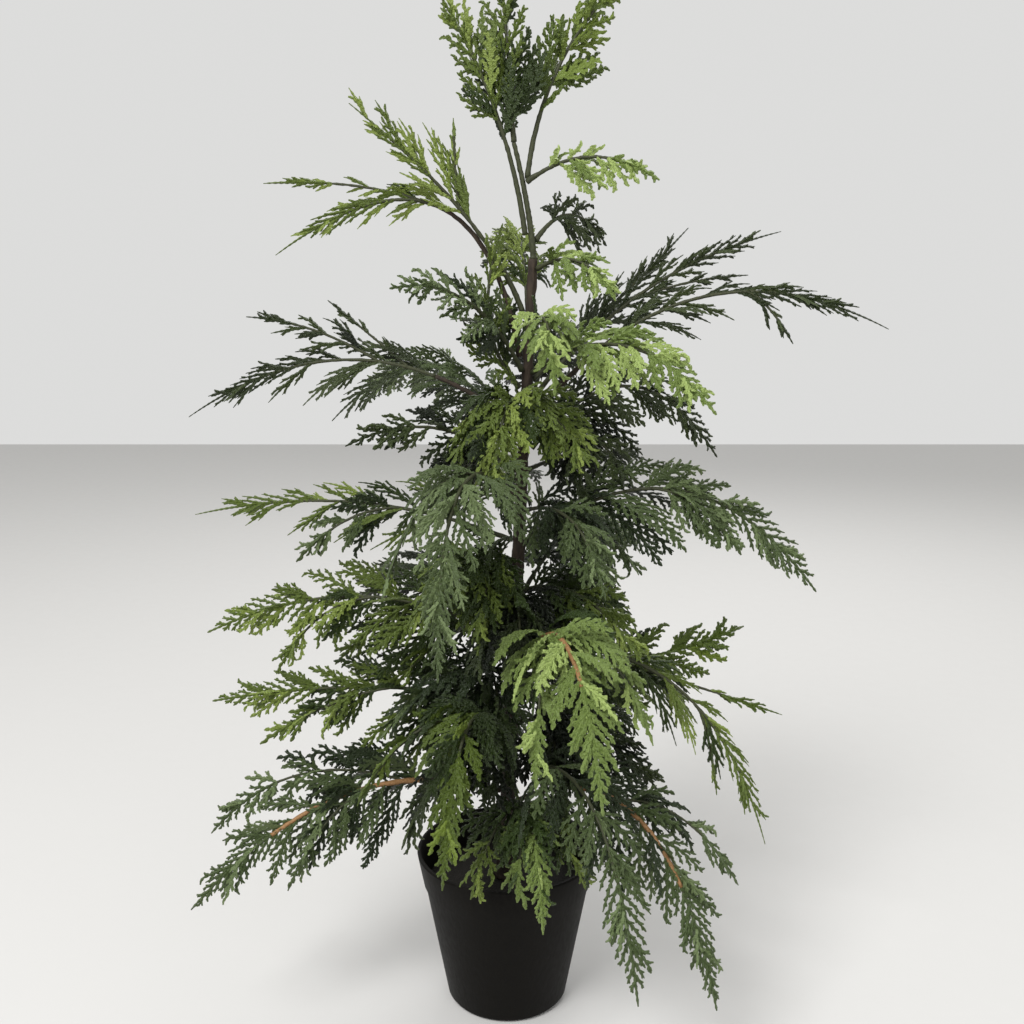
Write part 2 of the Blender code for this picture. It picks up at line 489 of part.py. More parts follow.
def blade(name, rib, beside, twist, spread, teeth, width=1.0):
    """A frond as a toothed blade: a three-sided rib, some of its upper faces poked out into side twigs."""
    first = (rib[1] - rib[0]).normalized()
    normal = Matrix.Rotation(twist, 3, first) @ first.cross(beside).normalized()
    reach, open_angle = length_of(rib) * TOOTH_SHARE * width, TOOTH_ANGLE * spread
    shape = bmesh.new()
    rings = []
    for point, after in zip(rib, rib[1:]):
        side = normal.cross(after - point).normalized() * RIB_HALF_WIDTH
        corners = (point + side, point - side, point + normal * FROND_THICKNESS)
        rings.append([shape.verts.new(corner) for corner in corners])
    tip = shape.verts.new(rib[-1])
    shape.faces.new(rings[0])
    shape.faces.new((rings[-1][0], rings[-1][1], tip))
    for i, (ring, after) in enumerate(zip(rings, rings[1:] + [None])):
        if after:
            shape.faces.new((ring[0], ring[1], after[1], after[0]))
        for left, right in ((1, 2), (2, 0)):
            far = (after[right], after[left]) if after else (tip,)
            face = shape.faces.new((ring[left], ring[right], *far))
            if teeth[i]:
                along = (rib[i + 1] - rib[i]).normalized()
                out = normal.cross(along).normalized() * (-1 if left == 1 else 1)
                twig = bmesh.ops.poke(shape, faces=[face])["verts"][0]
                twig.co += (along * math.cos(open_angle) + out * math.sin(open_angle)) * reach * teeth[i]
    bmesh.ops.recalc_face_normals(shape, faces=shape.faces)
    mesh = bpy.data.meshes.new(name)
    shape.to_mesh(mesh)
    shape.free()
    return bpy.data.objects.new(name, mesh)


def distance_to(point, points):
    """How far a point is from a line of points."""
    nearest = 1e9
    for first, last in zip(points, points[1:]):
        run = last - first
        share = min(max((point - first).dot(run) / run.length_squared, 0.0), 1.0)
        nearest = min(nearest, (point - first - run * share).length)
    return nearest


def in_own_space(point, name, spines):
    """A mass holds the space nearer to its own stems than to any other, clear of trunk, pot and table."""
    if point.z < TABLE_CLEAR:
        return False
    level = min(max(point.z, TRUNK_FOOT), LEADER_TOP)
    if (point - axis_point(level)).length < axis_radius(level) + LIMB_CLEAR:
        return False
    if point.z < POT_HEIGHT + LIMB_CLEAR:
        if math.hypot(point.x, point.y) < pot_radius(point.z) + RIM_STEP + LIMB_CLEAR:
            return False
    own = min(distance_to(point, points) for kin, points in spines.items() if kin.name == name)
    return all(
        own + SPACE_MARGIN < distance_to(point, points)
        for other, points in spines.items()
        if other.name != name and (point - points[0]).length < own + length_of(points)
    )


def fits(made, name, spines):
    """Whether a frond's teeth and tip stay in its mass's own space."""
    return all(in_own_space(vertex.co, name, spines) for vertex in made.data.vertices[3:])


def grown_frond(spray, frond, spines, name):
    """The longest frond that stays in its mass's own space, or none."""
    points = spines[spray]
    heading = heading_along(points, frond.share)
    for scale in SHORTER:
        rib = rib_of(spray, points, frond, scale)
        made = blade(name, rib, heading * -frond.side, frond.twist, spray.spread, FROND_TEETH)
        if fits(made, spray.name, spines):
            return made
        bpy.data.objects.remove(made)
    return None


def lead_frond(spray, spines, name):
    """The frond that ends a spray, along its own curve, as wide as its own space allows."""
    points = spines[spray]
    teeth = SHOOT_LEAD_TEETH if spray in SHOOTS else LEAD_TEETH
    sections = len(teeth)
    shares = [blend(LEAD_START, 1.0, step / sections) for step in range(sections + 1)]
    rib = [point_along(points, share) for share in shares]
    beside = across(spray, heading_along(points, LEAD_START), 0)
    for width in NARROWER:
        made = blade(name, rib, beside, 0.0, spray.spread, teeth, width)
        if width == NARROWER[-1] or fits(made, spray.name, spines):
            return made
        bpy.data.objects.remove(made)


def growth_of(spray, spines):
    """The fronds of a spray or a shoot, with the lead one."""
    grown = [grown_frond(spray, fan, spines, f"frond_{place}") for place, fan in enumerate(fronds_of(spray))]
    return [lead_frond(spray, spines, "lead")] + [frond for frond in grown if frond]


def mass(spray, spines, scene):
    """A spray's stem with its shoots and fronds fused on."""
    made = as_mesh(linked(stem(spray, spines[spray]), scene))
    scene.objects.link(made)
    fused_on = bpy.data.collections.new("fused_on")
    bpy.context.scene.collection.children.link(fused_on)
    grown = growth_of(spray, spines)
    for shoot in SHOOTS:
        if shoot.name == spray.name:
            line = stretch("shoot", shoot, spines[shoot], 0.0, STEM_END, SHOOT_PARTS)
            grown += [as_mesh(linked(line, scene))] + growth_of(shoot, spines)
    for piece in grown:
        fused_on.objects.link(piece)
    fuse = made.modifiers.new("Fuse", "BOOLEAN")
    fuse.operation = "UNION"
    fuse.operand_type = "COLLECTION"
    fuse.collection = fused_on
    fuse.solver = "EXACT"
    fuse.use_self = True
    bpy.context.view_layer.update()
    fused = bpy.data.meshes.new_from_object(made.evaluated_get(bpy.context.evaluated_depsgraph_get()))
    made.modifiers.clear()
    outer_skin(fused)
    made.data = fused
    for piece in list(fused_on.objects):
        bpy.data.objects.remove(piece)
    bpy.data.collections.remove(fused_on)
    return made


def outer_skin(mesh):
    """Keeps a mesh's largest skin, so that loose scraps and sealed hollows go."""
    shape = bmesh.new()
    shape.from_mesh(mesh)
    bmesh.ops.triangulate(shape, faces=shape.faces)
    bmesh.ops.remove_doubles(shape, verts=shape.verts, dist=WELD)
    skins, left = [], set(shape.faces)
    while left:
        skin = [left.pop()]
        for face in skin:
            seams = [edge.link_faces for edge in face.edges if len(edge.link_faces) == 2]
            near = {other for seam in seams for other in seam} & left
            left -= near
            skin.extend(near)
        skins.append(skin)
    largest = max(skins, key=len)
    scraps = [face for skin in skins if skin is not largest for face in skin]
    bmesh.ops.delete(shape, geom=scraps, context="FACES")
    shape.to_mesh(mesh)
    shape.free()


def linked(made, scene):
    scene.objects.link(made)
    bpy.context.view_layer.update()
    return made


def finish(name, colour, roughness):
    """A plain plastic or cement finish."""
    material = bpy.data.materials.new(name)
    material.use_nodes = True
    shader = material.node_tree.nodes["Principled BSDF"]
    shader.inputs["Base Color"].default_value = (*colour, 1.0)
    shader.inputs["Roughness"].default_value = roughness
    return material


def painted(made, material):
    made.data.materials.clear()
    made.data.materials.append(material)
    return made


def main():
    for old in list(bpy.data.objects):
        bpy.data.objects.remove(old)
    scene = bpy.data.collections.new("potted_cedar")
    bpy.context.scene.collection.children.link(scene)
    plastic = finish("pot_plastic", POT_COLOUR, 0.5)
    bark = finish("bark", TRUNK_COLOUR, 0.8)
    wire = finish("stem", STEM_COLOUR, 0.6)
    leaf = {tint: finish("cedar_" + tint, colour, 0.55) for tint, colour in TINTS.items()}
    painted(linked(pot(), scene), plastic)
    painted(linked(fill(), scene), finish("fill", FILL_COLOUR, 0.9))
    painted(linked(trunk(), scene), bark)
    painted(linked(leader(), scene), wire)
    spines = {spray: spine(spray) for spray in SPRAYS}
    mains = {spray.name: points for spray, points in spines.items()}
    spines.update((shoot, spine(shoot, mains[shoot.name])) for shoot in SHOOTS)
    for spray in SPRAYS:
        if bough_share(spray):
            painted(linked(bough(spray, spines[spray]), scene), wire)
        painted(mass(spray, spines, scene), leaf[spray.tint])


if __name__ == "__main__":
    main()
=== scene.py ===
"""Looks of the potted artificial northern white cedar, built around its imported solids.

The sprays grow here by the same table and the same rule as in the part's source, and are carried on
to finer twigs: each frond becomes a fan of side twigs with scaly leaflets, in several planes.
"""

import math
import random
from collections import namedtuple

import bpy
import numpy as np
from mathutils import Matrix, Vector, noise


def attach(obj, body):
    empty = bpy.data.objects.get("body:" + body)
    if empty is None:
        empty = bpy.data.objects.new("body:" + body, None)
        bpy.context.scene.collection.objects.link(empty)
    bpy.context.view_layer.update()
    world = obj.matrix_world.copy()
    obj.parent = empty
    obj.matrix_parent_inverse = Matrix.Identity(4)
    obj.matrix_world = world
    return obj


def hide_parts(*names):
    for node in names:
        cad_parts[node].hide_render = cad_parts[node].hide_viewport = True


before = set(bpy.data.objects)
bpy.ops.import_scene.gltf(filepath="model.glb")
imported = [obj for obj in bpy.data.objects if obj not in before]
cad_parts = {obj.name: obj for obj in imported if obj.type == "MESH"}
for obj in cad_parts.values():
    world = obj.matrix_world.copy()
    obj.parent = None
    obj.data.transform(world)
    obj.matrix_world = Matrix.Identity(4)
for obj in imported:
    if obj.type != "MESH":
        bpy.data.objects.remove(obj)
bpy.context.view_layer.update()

DOWN = Vector((0.0, 0.0, -1.0))
UP = Vector((0.0, 0.0, 1.0))
GAP = 0.0003

# Pot, trunk and sprays, as in the part's source
POT_HEIGHT = 0.142
POT_BASE_RADIUS = 0.054
POT_RIM_RADIUS = 0.080
POT_WALL = 0.0022
POT_FLOOR = 0.004
POT_FOOT_ROUND = 0.004
RIM_BAND = 0.030
RIM_STEP = 0.0016
FILL_LEVEL = 0.114
FILL_DISH = 0.003
TRUNK_FOOT = FILL_LEVEL + GAP
TRUNK_TOP = 0.665
TRUNK_FOOT_RADIUS = 0.0072
TRUNK_TOP_RADIUS = 0.0038
TRUNK_LEAN = 0.022
TRUNK_SWAY = 0.003
FLARE_RADIUS = 0.0055
FLARE_HEIGHT = 0.035
LEADER_TOP = 0.757
LEADER_FOOT_RADIUS = 0.0026
LEADER_TOP_RADIUS = 0.0018
LEADER_BEND = 0.016
LEAN_CURVE = 1.2
BEND_CURVE = 1.5
SPINE_STEPS = 32
BOUGH_FOOT_RADIUS = 0.0025
BOUGH_TIP_RADIUS = 0.0017
STEM_TIP_RADIUS = 0.0008
SHOOT_RADIUS = 0.0013
STEM_END = 0.80
LEAD_START = 0.62
FIRST_FROND = 0.02
LAST_FROND = 0.86
ROOT_ANGLE = math.radians(54)
TIP_ANGLE = math.radians(34)
FROND_TAPER = 0.70
FROND_CROWD = 1.25
FROND_SWEEP = 0.55
FROND_SAG = 0.65
FROND_TWIST = 18
PLACE_JITTER = (0.3, 0.7)
ANGLE_JITTER = (0.85, 1.15)
LENGTH_JITTER = (0.85, 1.1)
LIMB_CLEAR = 0.004
TABLE_CLEAR = 0.010

# A spray: the height of its root, the way it points, its curve's bend and tip (out, up) from there, the
# share of the curve that is bare, how far fans reach on either side, how they lean, spread and number,
# and the tint. Lengths are in metres and angles in degrees.
Spray = namedtuple("Spray", "name root azimuth bend tip bare above below roll spread fronds tint")
SPRAY_ROWS = (
    ("leader_left", 0.684, 188, (0.013, 0.098), (0.069, 0.184), 0.42, 0.065, 0.045, 85, 0.8, 5, "mid"),
    ("leader_top", LEADER_TOP, 180, (0.004, 0.070), (0.012, 0.142), 0.10, 0.055, 0.055, 75, 0.8, 5, "mid"),
    ("leader_right", 0.729, 24, (0.010, 0.092), (0.088, 0.164), 0.36, 0.050, 0.055, 95, 0.9, 5, "olive"),
    ("leader_comb", 0.726, 338, (0.055, 0.036), (0.112, -0.004), 0.15, 0.018, 0.048, 80, 1.0, 4, "light"),
    ("leader_dark", 0.680, 43, (0.042, 0.047), (0.089, -0.004), 0.20, 0.035, 0.045, 80, 1.0, 4, "dark"),
    ("upper_left_high", 0.622, 195, (0.030, 0.080), (0.152, 0.168), 0.42, 0.075, 0.045, 95, 0.6, 5, "mid"),
    ("upper_left", 0.585, 185, (0.035, 0.206), (0.206, 0.076), 0.46, 0.050, 0.045, 95, 0.6, 4, "mid"),
    ("centre_left", 0.560, 205, (0.050, 0.050), (0.012, 0.140), 0.12, 0.055, 0.045, 110, 1.0, 5, "mid"),
    ("centre_high", 0.657, 318, (0.050, 0.022), (0.082, -0.028), 0.10, 0.035, 0.045, 40, 1.0, 4, "light"),
    ("upper_left_light", 0.574, 226, (0.055, 0.080), (0.139, 0.066), 0.14, 0.055, 0.055, 120, 1.0, 5, "blue"),
    ("left_dark", 0.528, 176, (0.135, 0.108), (0.289, 0.001), 0.25, 0.065, 0.080, 110, 0.6, 5, "dark"),
    ("right_high", 0.551, 15, (0.085, 0.108), (0.226, 0.140), 0.24, 0.065, 0.050, 75, 0.5, 5, "dark"),
    ("right_inner", 0.566, 35, (0.091, 0.062), (0.174, 0.130), 0.22, 0.060, 0.050, 60, 0.5, 4, "dark"),
    ("right_long", 0.534, 354, (0.122, 0.160), (0.286, 0.075), 0.25, 0.060, 0.065, 70, 0.5, 5, "dark"),
    ("right_light", 0.572, 316, (0.101, 0.062), (0.184, -0.024), 0.18, 0.055, 0.070, 40, 0.9, 5, "light"),
    ("centre_light", 0.600, 280, (0.080, 0.050), (0.098, -0.042), 0.12, 0.050, 0.055, 10, 0.9, 4, "light"),
    ("right_mid_dark", 0.508, 7, (0.088, 0.112), (0.167, -0.017), 0.12, 0.055, 0.070, 70, 0.8, 5, "dark"),
    ("right_back_dark", 0.489, 41, (0.077, 0.020), (0.152, -0.006), 0.10, 0.055, 0.055, 60, 0.8, 4, "dark"),
    ("right_blue", 0.428, 346, (0.138, 0.116), (0.246, -0.035), 0.12, 0.070, 0.090, 65, 0.8, 5, "blue"),
    ("mid_left_dark", 0.489, 204, (0.067, 0.065), (0.147, 0.029), 0.10, 0.060, 0.060, 120, 0.8, 4, "dark"),
    ("mid_left", 0.428, 176, (0.133, 0.054), (0.281, 0.018), 0.12, 0.070, 0.085, 110, 0.7, 5, "mid"),
    ("centre_blue", 0.463, 251, (0.185, 0.115), (0.180, -0.115), 0.20, 0.085, 0.075, 0, 0.9, 5, "blue"),
    ("centre_right", 0.455, 303, (0.085, 0.030), (0.115, -0.055), 0.08, 0.065, 0.065, 20, 1.0, 5, "blue"),
    ("left_low_1", 0.338, 184, (0.122, 0.078), (0.262, 0.010), 0.12, 0.080, 0.090, 115, 0.9, 5, "mid"),
    ("left_low_2", 0.282, 187, (0.124, 0.029), (0.254, 0.010), 0.10, 0.080, 0.085, 115, 0.9, 5, "mid"),
    ("bottom_left", 0.197, 201, (0.150, 0.070), (0.278, -0.066), 0.24, 0.085, 0.090, 115, 1.0, 5, "blue"),
    ("front_left", 0.240, 254, (0.135, 0.150), (0.177, -0.055), 0.14, 0.075, 0.080, 0, 0.8, 5, "olive"),
    ("front_bottom", 0.165, 282, (0.095, 0.120), (0.133, -0.038), 0.18, 0.050, 0.050, 5, 1.0, 4, "light"),
    ("front_right", 0.292, 286, (0.148, 0.180), (0.222, -0.015), 0.22, 0.085, 0.085, 15, 1.0, 5, "light"),
    ("bottom_front", 0.212, 295, (0.170, 0.125), (0.222, -0.107), 0.14, 0.080, 0.080, 15, 0.9, 5, "blue"),
    ("bottom_right", 0.187, 313, (0.173, 0.128), (0.232, -0.108), 0.22, 0.080, 0.085, 25, 0.9, 5, "blue"),
    ("right_low", 0.329, 344, (0.168, 0.040), (0.221, -0.170), 0.28, 0.060, 0.085, 50, 0.6, 5, "mid"),
    ("right_low_up", 0.305, 8, (0.106, -0.002), (0.206, 0.036), 0.10, 0.075, 0.085, 70, 0.9, 5, "olive"),
    ("inner_high", 0.545, 254, (0.062, 0.032), (0.098, -0.070), 0.08, 0.070, 0.070, 10, 0.9, 7, "mid"),
    ("inner_middle", 0.410, 224, (0.065, 0.035), (0.120, -0.045), 0.08, 0.070, 0.070, 20, 0.9, 7, "mid"),
    ("inner_front", 0.375, 272, (0.060, 0.030), (0.110, -0.055), 0.08, 0.070, 0.070, 5, 0.9, 7, "dark"),
    ("inner_right", 0.384, 324, (0.065, 0.030), (0.125, -0.050), 0.08, 0.070, 0.070, 20, 0.9, 7, "mid"),
    ("inner_left", 0.310, 212, (0.065, 0.030), (0.130, -0.045), 0.08, 0.070, 0.070, 30, 0.9, 7, "blue"),
    ("inner_low", 0.258, 230, (0.072, 0.030), (0.138, -0.078), 0.08, 0.070, 0.070, 20, 0.9, 7, "dark"),
    ("inner_right_low", 0.262, 338, (0.070, 0.025), (0.135, -0.050), 0.08, 0.070, 0.070, 30, 0.9, 7, "dark"),
    ("back_high", 0.610, 96, (0.060, 0.120), (0.165, 0.060), 0.14, 0.060, 0.060, 30, 0.8, 7, "mid"),
    ("back_left_high", 0.515, 134, (0.120, 0.110), (0.225, 0.010), 0.10, 0.080, 0.080, 30, 0.8, 7, "blue"),
    ("back_right_high", 0.535, 72, (0.100, 0.110), (0.215, 0.040), 0.10, 0.070, 0.070, 30, 0.8, 7, "dark"),
    ("back_middle", 0.440, 104, (0.130, 0.100), (0.235, -0.020), 0.10, 0.080, 0.080, 25, 0.9, 7, "mid"),
    ("back_right_mid", 0.375, 58, (0.130, 0.100), (0.245, -0.010), 0.10, 0.085, 0.085, 30, 0.9, 7, "blue"),
    ("back_left_low", 0.330, 130, (0.130, 0.110), (0.255, -0.030), 0.10, 0.085, 0.085, 25, 0.9, 7, "dark"),
    ("back_right_low", 0.235, 40, (0.140, 0.110), (0.255, -0.050), 0.10, 0.085, 0.085, 30, 0.9, 7, "mid"),
    ("back_bottom", 0.190, 98, (0.150, 0.120), (0.250, -0.060), 0.10, 0.085, 0.085, 20, 0.9, 7, "blue"),
)
SPRAYS = tuple(Spray(*row) for row in SPRAY_ROWS)

# Side shoots of a spray, in rows of the same kind: the name is that of their spray, and root is the
# share of its curve where they leave it.
SHOOT_ROWS = (
    ("upper_left", 0.50, 183, (0.060, 0.022), (0.141, 0.016), 0.05, 0.030, 0.030, 95, 0.6, 3, "mid"),
    ("left_dark", 0.42, 178, (0.055, 0.034), (0.109, 0.037), 0.05, 0.045, 0.050, 110, 0.6, 3, "dark"),
    ("right_long", 0.64, 350, (0.018, -0.006), (0.042, -0.048), 0.05, 0.020, 0.030, 70, 0.6, 2, "dark"),
    ("right_high", 0.45, 8, (0.050, 0.018), (0.100, 0.020), 0.05, 0.030, 0.035, 75, 0.5, 2, "dark"),
    ("right_blue", 0.40, 338, (0.045, 0.000), (0.080, -0.055), 0.05, 0.045, 0.045, 65, 0.8, 3, "blue"),
    ("right_blue", 0.10, 10, (0.040, 0.000), (0.080, -0.060), 0.05, 0.050, 0.050, 50, 0.9, 3, "blue"),
    ("right_mid_dark", 0.12, 334, (0.040, 0.000), (0.075, -0.060), 0.05, 0.050, 0.050, 40, 0.9, 3, "dark"),
    ("mid_left_dark", 0.15, 226, (0.040, 0.000), (0.070, -0.055), 0.05, 0.050, 0.050, 60, 0.9, 3, "dark"),
    ("mid_left", 0.35, 190, (0.050, 0.005), (0.095, -0.048), 0.05, 0.050, 0.050, 110, 0.9, 3, "blue"),
    ("left_low_1", 0.45, 188, (0.055, 0.000), (0.090, -0.072), 0.05, 0.045, 0.045, 115, 0.9, 3, "mid"),
    ("left_low_1", 0.10, 202, (0.040, -0.005), (0.080, -0.050), 0.05, 0.055, 0.055, 70, 0.9, 3, "mid"),
    ("left_low_2", 0.40, 194, (0.060, -0.005), (0.115, -0.042), 0.05, 0.045, 0.045, 115, 0.9, 3, "mid"),
    ("left_low_2", 0.10, 218, (0.045, -0.010), (0.075, -0.045), 0.05, 0.055, 0.055, 70, 0.9, 3, "mid"),
    ("bottom_left", 0.30, 190, (0.100, 0.042), (0.165, -0.034), 0.05, 0.055, 0.055, 115, 1.0, 4, "blue"),
    ("bottom_left", 0.40, 214, (0.050, -0.005), (0.085, -0.080), 0.05, 0.045, 0.045, 115, 1.0, 3, "blue"),
    ("front_left", 0.25, 202, (0.070, 0.020), (0.115, -0.068), 0.05, 0.045, 0.045, 40, 0.9, 3, "olive"),
    ("right_low_up", 0.45, 352, (0.070, -0.020), (0.142, -0.042), 0.05, 0.030, 0.030, 60, 0.5, 2, "olive"),
    ("centre_blue", 0.30, 205, (0.055, 0.010), (0.085, -0.110), 0.05, 0.055, 0.055, 20, 0.9, 3, "blue"),
    ("front_right", 0.35, 332, (0.060, 0.020), (0.095, -0.090), 0.05, 0.050, 0.050, 15, 1.0, 3, "light"),
    ("front_right", 0.35, 262, (0.060, 0.010), (0.085, -0.112), 0.05, 0.050, 0.050, 15, 1.0, 3, "light"),
    ("bottom_right", 0.40, 345, (0.062, 0.012), (0.105, -0.068), 0.05, 0.045, 0.045, 25, 0.9, 3, "blue"),
    ("centre_right", 0.15, 345, (0.035, 0.000), (0.068, -0.075), 0.05, 0.055, 0.055, 20, 1.0, 4, "blue"),
    ("right_mid_dark", 0.10, 298, (0.030, 0.000), (0.050, -0.070), 0.05, 0.055, 0.055, 10, 0.9, 4, "dark"),
    ("left_low_1", 0.25, 172, (0.050, -0.005), (0.095, -0.060), 0.05, 0.050, 0.050, 110, 0.9, 3, "mid"),
    ("front_bottom", 0.24, 238, (0.045, 0.010), (0.080, -0.060), 0.05, 0.055, 0.055, 5, 1.0, 4, "mid"),
    ("front_bottom", 0.26, 314, (0.045, 0.008), (0.080, -0.055), 0.05, 0.050, 0.050, 5, 1.0, 4, "mid"),
    ("inner_low", 0.30, 252, (0.040, -0.015), (0.065, -0.095), 0.05, 0.050, 0.050, 5, 1.0, 3, "mid"),
    ("inner_right_low", 0.30, 272, (0.040, -0.015), (0.062, -0.090), 0.05, 0.050, 0.050, 5, 1.0, 3, "blue"),
    ("upper_left_high", 0.50, 178, (0.004, 0.030), (0.004, 0.072), 0.05, 0.022, 0.022, 95, 0.5, 2, "mid"),
    ("left_dark", 0.33, 176, (0.033, 0.028), (0.068, 0.056), 0.05, 0.022, 0.022, 110, 0.5, 2, "dark"),
    ("right_low", 0.58, 336, (0.012, -0.022), (0.020, -0.085), 0.05, 0.024, 0.024, 50, 0.5, 2, "mid"),
    ("front_bottom", 0.46, 254, (0.024, 0.000), (0.036, -0.078), 0.05, 0.045, 0.045, 5, 1.0, 3, "light"),
    ("inner_high", 0.12, 216, (0.040, 0.000), (0.070, -0.055), 0.05, 0.060, 0.060, 30, 0.9, 5, "mid"),
    ("inner_middle", 0.30, 288, (0.028, -0.010), (0.040, -0.090), 0.05, 0.060, 0.060, 10, 0.9, 5, "mid"),
    ("inner_high", 0.12, 322, (0.040, 0.000), (0.075, -0.055), 0.05, 0.060, 0.060, 30, 0.9, 5, "mid"),
    ("inner_middle", 0.12, 256, (0.040, 0.000), (0.075, -0.060), 0.05, 0.060, 0.060, 20, 0.9, 5, "mid"),
    ("inner_front", 0.12, 238, (0.040, 0.000), (0.070, -0.055), 0.05, 0.060, 0.060, 20, 0.9, 5, "dark"),
    ("inner_front", 0.12, 300, (0.040, 0.000), (0.075, -0.060), 0.05, 0.060, 0.060, 20, 0.9, 5, "dark"),
    ("inner_right", 0.12, 12, (0.045, 0.000), (0.080, -0.030), 0.05, 0.060, 0.060, 40, 0.9, 5, "mid"),
    ("inner_left", 0.12, 280, (0.040, 0.000), (0.070, -0.055), 0.05, 0.060, 0.060, 20, 0.9, 5, "blue"),
    ("inner_low", 0.12, 272, (0.045, 0.000), (0.070, -0.045), 0.05, 0.060, 0.060, 20, 0.9, 5, "dark"),
    ("inner_right_low", 0.12, 294, (0.045, 0.000), (0.070, -0.045), 0.05, 0.060, 0.060, 20, 0.9, 5, "dark"),
)
SHOOTS = tuple(Spray(*row) for row in SHOOT_ROWS)

MAIN_BOUGHS = (
    "upper_left",
    "left_dark",
    "right_long",
    "centre_blue",
    "front_right",
    "bottom_left",
    "bottom_right",
    "right_low",
)

# Fans stand in more planes than one: turn about the stem (degrees), length, how many, and how bare
PLANES = ((0, 1.0, 2.2, 1.0), (35, 0.9, 1.3, 0.9), (-35, 0.9, 1.3, 0.9), (90, 0.75, 0.8, 0.7))
WHIP_PLANES = ((0, 1.0, 1.8, 1.0), (35, 0.8, 0.9, 0.9), (-35, 0.8, 0.9, 0.9))

# Finer growth. A habit tells how a fan's side twigs stand: their gap along the rib, their length as a
# share of the rib, their angle, the same for the leaflets on them, the half width of a twig, and the
# width of its end as a share of that, from a point to blunt, and where the last side twig is.
Habit = namedtuple("Habit", "gap share angle leaf_gap leaf angle_leaf half_width end last")
HABITS = {
    "whip": Habit(0.0070, 0.54, math.radians(18), 0.0064, 0.0052, math.radians(22), 0.00130, 0.22, 0.66),
    "open": Habit(0.0050, 0.47, math.radians(35), 0.0034, 0.0042, math.radians(38), 0.00130, 0.60, 0.95),
    "broad": Habit(0.0048, 0.45, math.radians(35), 0.0032, 0.0044, math.radians(36), 0.00160, 0.60, 0.95),
}
WHIP_SPREAD = 0.75
BROAD_TINTS = ("light", "olive")
RING = 0.0024
RIB_STEP = 0.006
FEWEST_STEPS = 5
FEWEST_RIB_RINGS = 4
FEWEST_TWIG_RINGS = 3
SCALE_DEPTH = 0.24
BLUNT_END = 0.35
# A twig is slim at its foot, widens at once and narrows late; a fan's side twigs do so more gently
TWIG_FOOT = 0.65
TWIG_WIDENS = 2.0
TWIG_NARROWS = 2.5
FAN_FOOT = 0.55
FAN_WIDENS = 1.8
FAN_NARROWS = 0.75
# The fan that ends a spray is slimmer, and its last side twigs stand further back
LEAD_STEPS = 14
LEAD_WIDTH = 0.72
LEAD_LAST = 0.93
# Side twigs of a fan
RIB_WIDTH = 1.15
FIRST_TWIG = 0.8
OPEN_JITTER = (0.75, 1.15)
REACH_JITTER = (0.82, 1.10)
TURN_JITTER = (0.95, 1.05)
GAP_JITTER = (0.9, 1.1)
CLOSING = 0.25
TWIG_CURVE = 0.15
# Leaflets of a side twig
FIRST_LEAF = 0.9
LAST_LEAF = 0.88
LEAF_TAPER = 0.35
LEAF_JITTER = (0.8, 1.15)
LEAF_WIDTH = 0.9
LEAF_BODY = np.array((1.0, 0.55))
# Half a ridge's height against a twig's half width, a side twig's tilt, how a fan's face hangs to its
# sides, and how far its ridged side looks out as well as up
RIDGE = 0.55
TILT = math.radians(14)
DROOP = 5.0
FACING_OUT = 0.6

# Tints by spray, and the painted light that their fans are dealt by (painted shade, plain, painted
# highlight), each a factor for red, green and blue
TINTS = {
    "dark": (0.016, 0.025, 0.005),
    "blue": (0.052, 0.076, 0.024),
    "mid": (0.078, 0.111, 0.017),
    "olive": (0.054, 0.082, 0.008),
    "light": (0.122, 0.172, 0.040),
}
# deep darkens a fan's tint and makes it greener, as shade would; bright lightens and pales it, as light and
# sheen would
PAINTED_LIGHT_SHADES = {"deep": (0.24, 0.30, 0.20), "plain": (1.0, 1.0, 1.0), "bright": (2.0, 1.85, 2.3)}
# A fan's painted light rises along its spray, out from the trunk and up the crown, which narrows to its top:
# fans near the trunk get painted shade, outer and upper ones painted highlight
CROWN_FOOT = 0.25
FOOT_OPEN = 0.20
TOP_OPEN = 0.045
ALONG_LIGHT = 0.4
OUT_LIGHT = 0.6
UP_LIGHT = 0.22
UP_MIDDLE = 0.3
TURNED_LIGHT = 0.1
LIGHT_SWING = 0.35
PAINTED_SHADE_BELOW = 0.46
PAINTED_HIGHLIGHT_ABOVE = 0.86

BARK_COLOUR = (0.022, 0.016, 0.012)
STEM_COLOUR = (0.026, 0.029, 0.014)
BROWN_COLOUR = (0.180, 0.092, 0.034)
POT_COLOUR = (0.0045, 0.0040, 0.0033)
FILL_COLOUR = (0.010, 0.009, 0.007)
FLOOR_COLOUR = (0.52, 0.514, 0.502)

# A finish: its roughness, which swings with the grain, the grain's scale, the relief's depth in metres and
# its strength, how the grain is drawn out, a second colour for mottling, and the strength of its gloss
Finish = namedtuple("Finish", "roughness grain depth strength stretch mottle specular")
EVEN = (1.0, 1.0, 1.0)
LEAF_FINISH = Finish(0.42, 560.0, 0.0024, 1.0, EVEN, None, 0.36)
BARK_FINISH = Finish(0.8, 260.0, 0.0012, 0.6, (1.0, 1.0, 0.25), (0.050, 0.036, 0.024), 0.25)
WIRE_FINISH = Finish(0.6, 500.0, 0.0006, 0.6, (1.0, 1.0, 0.5), (0.045, 0.050, 0.022), 0.25)
BROWN_FINISH = Finish(0.6, 700.0, 0.0006, 0.6, EVEN, (0.290, 0.165, 0.075), 0.25)
POT_FINISH = Finish(0.5, 320.0, 0.0003, 0.6, (1.0, 1.0, 0.35), (0.0075, 0.0068, 0.0055), 0.05)
FILL_FINISH = Finish(0.9, 500.0, 0.002, 0.6, EVEN, (0.018, 0.016, 0.013), 0.25)
FLOOR_FINISH = Finish(0.6, 40.0, 0.0002, 0.6, EVEN, None, 0.25)
GRAIN_DETAIL = 6.0
GLOSS_SWING = 0.12
MOTTLE_FROM = 0.35
MOTTLE_TO = 0.72

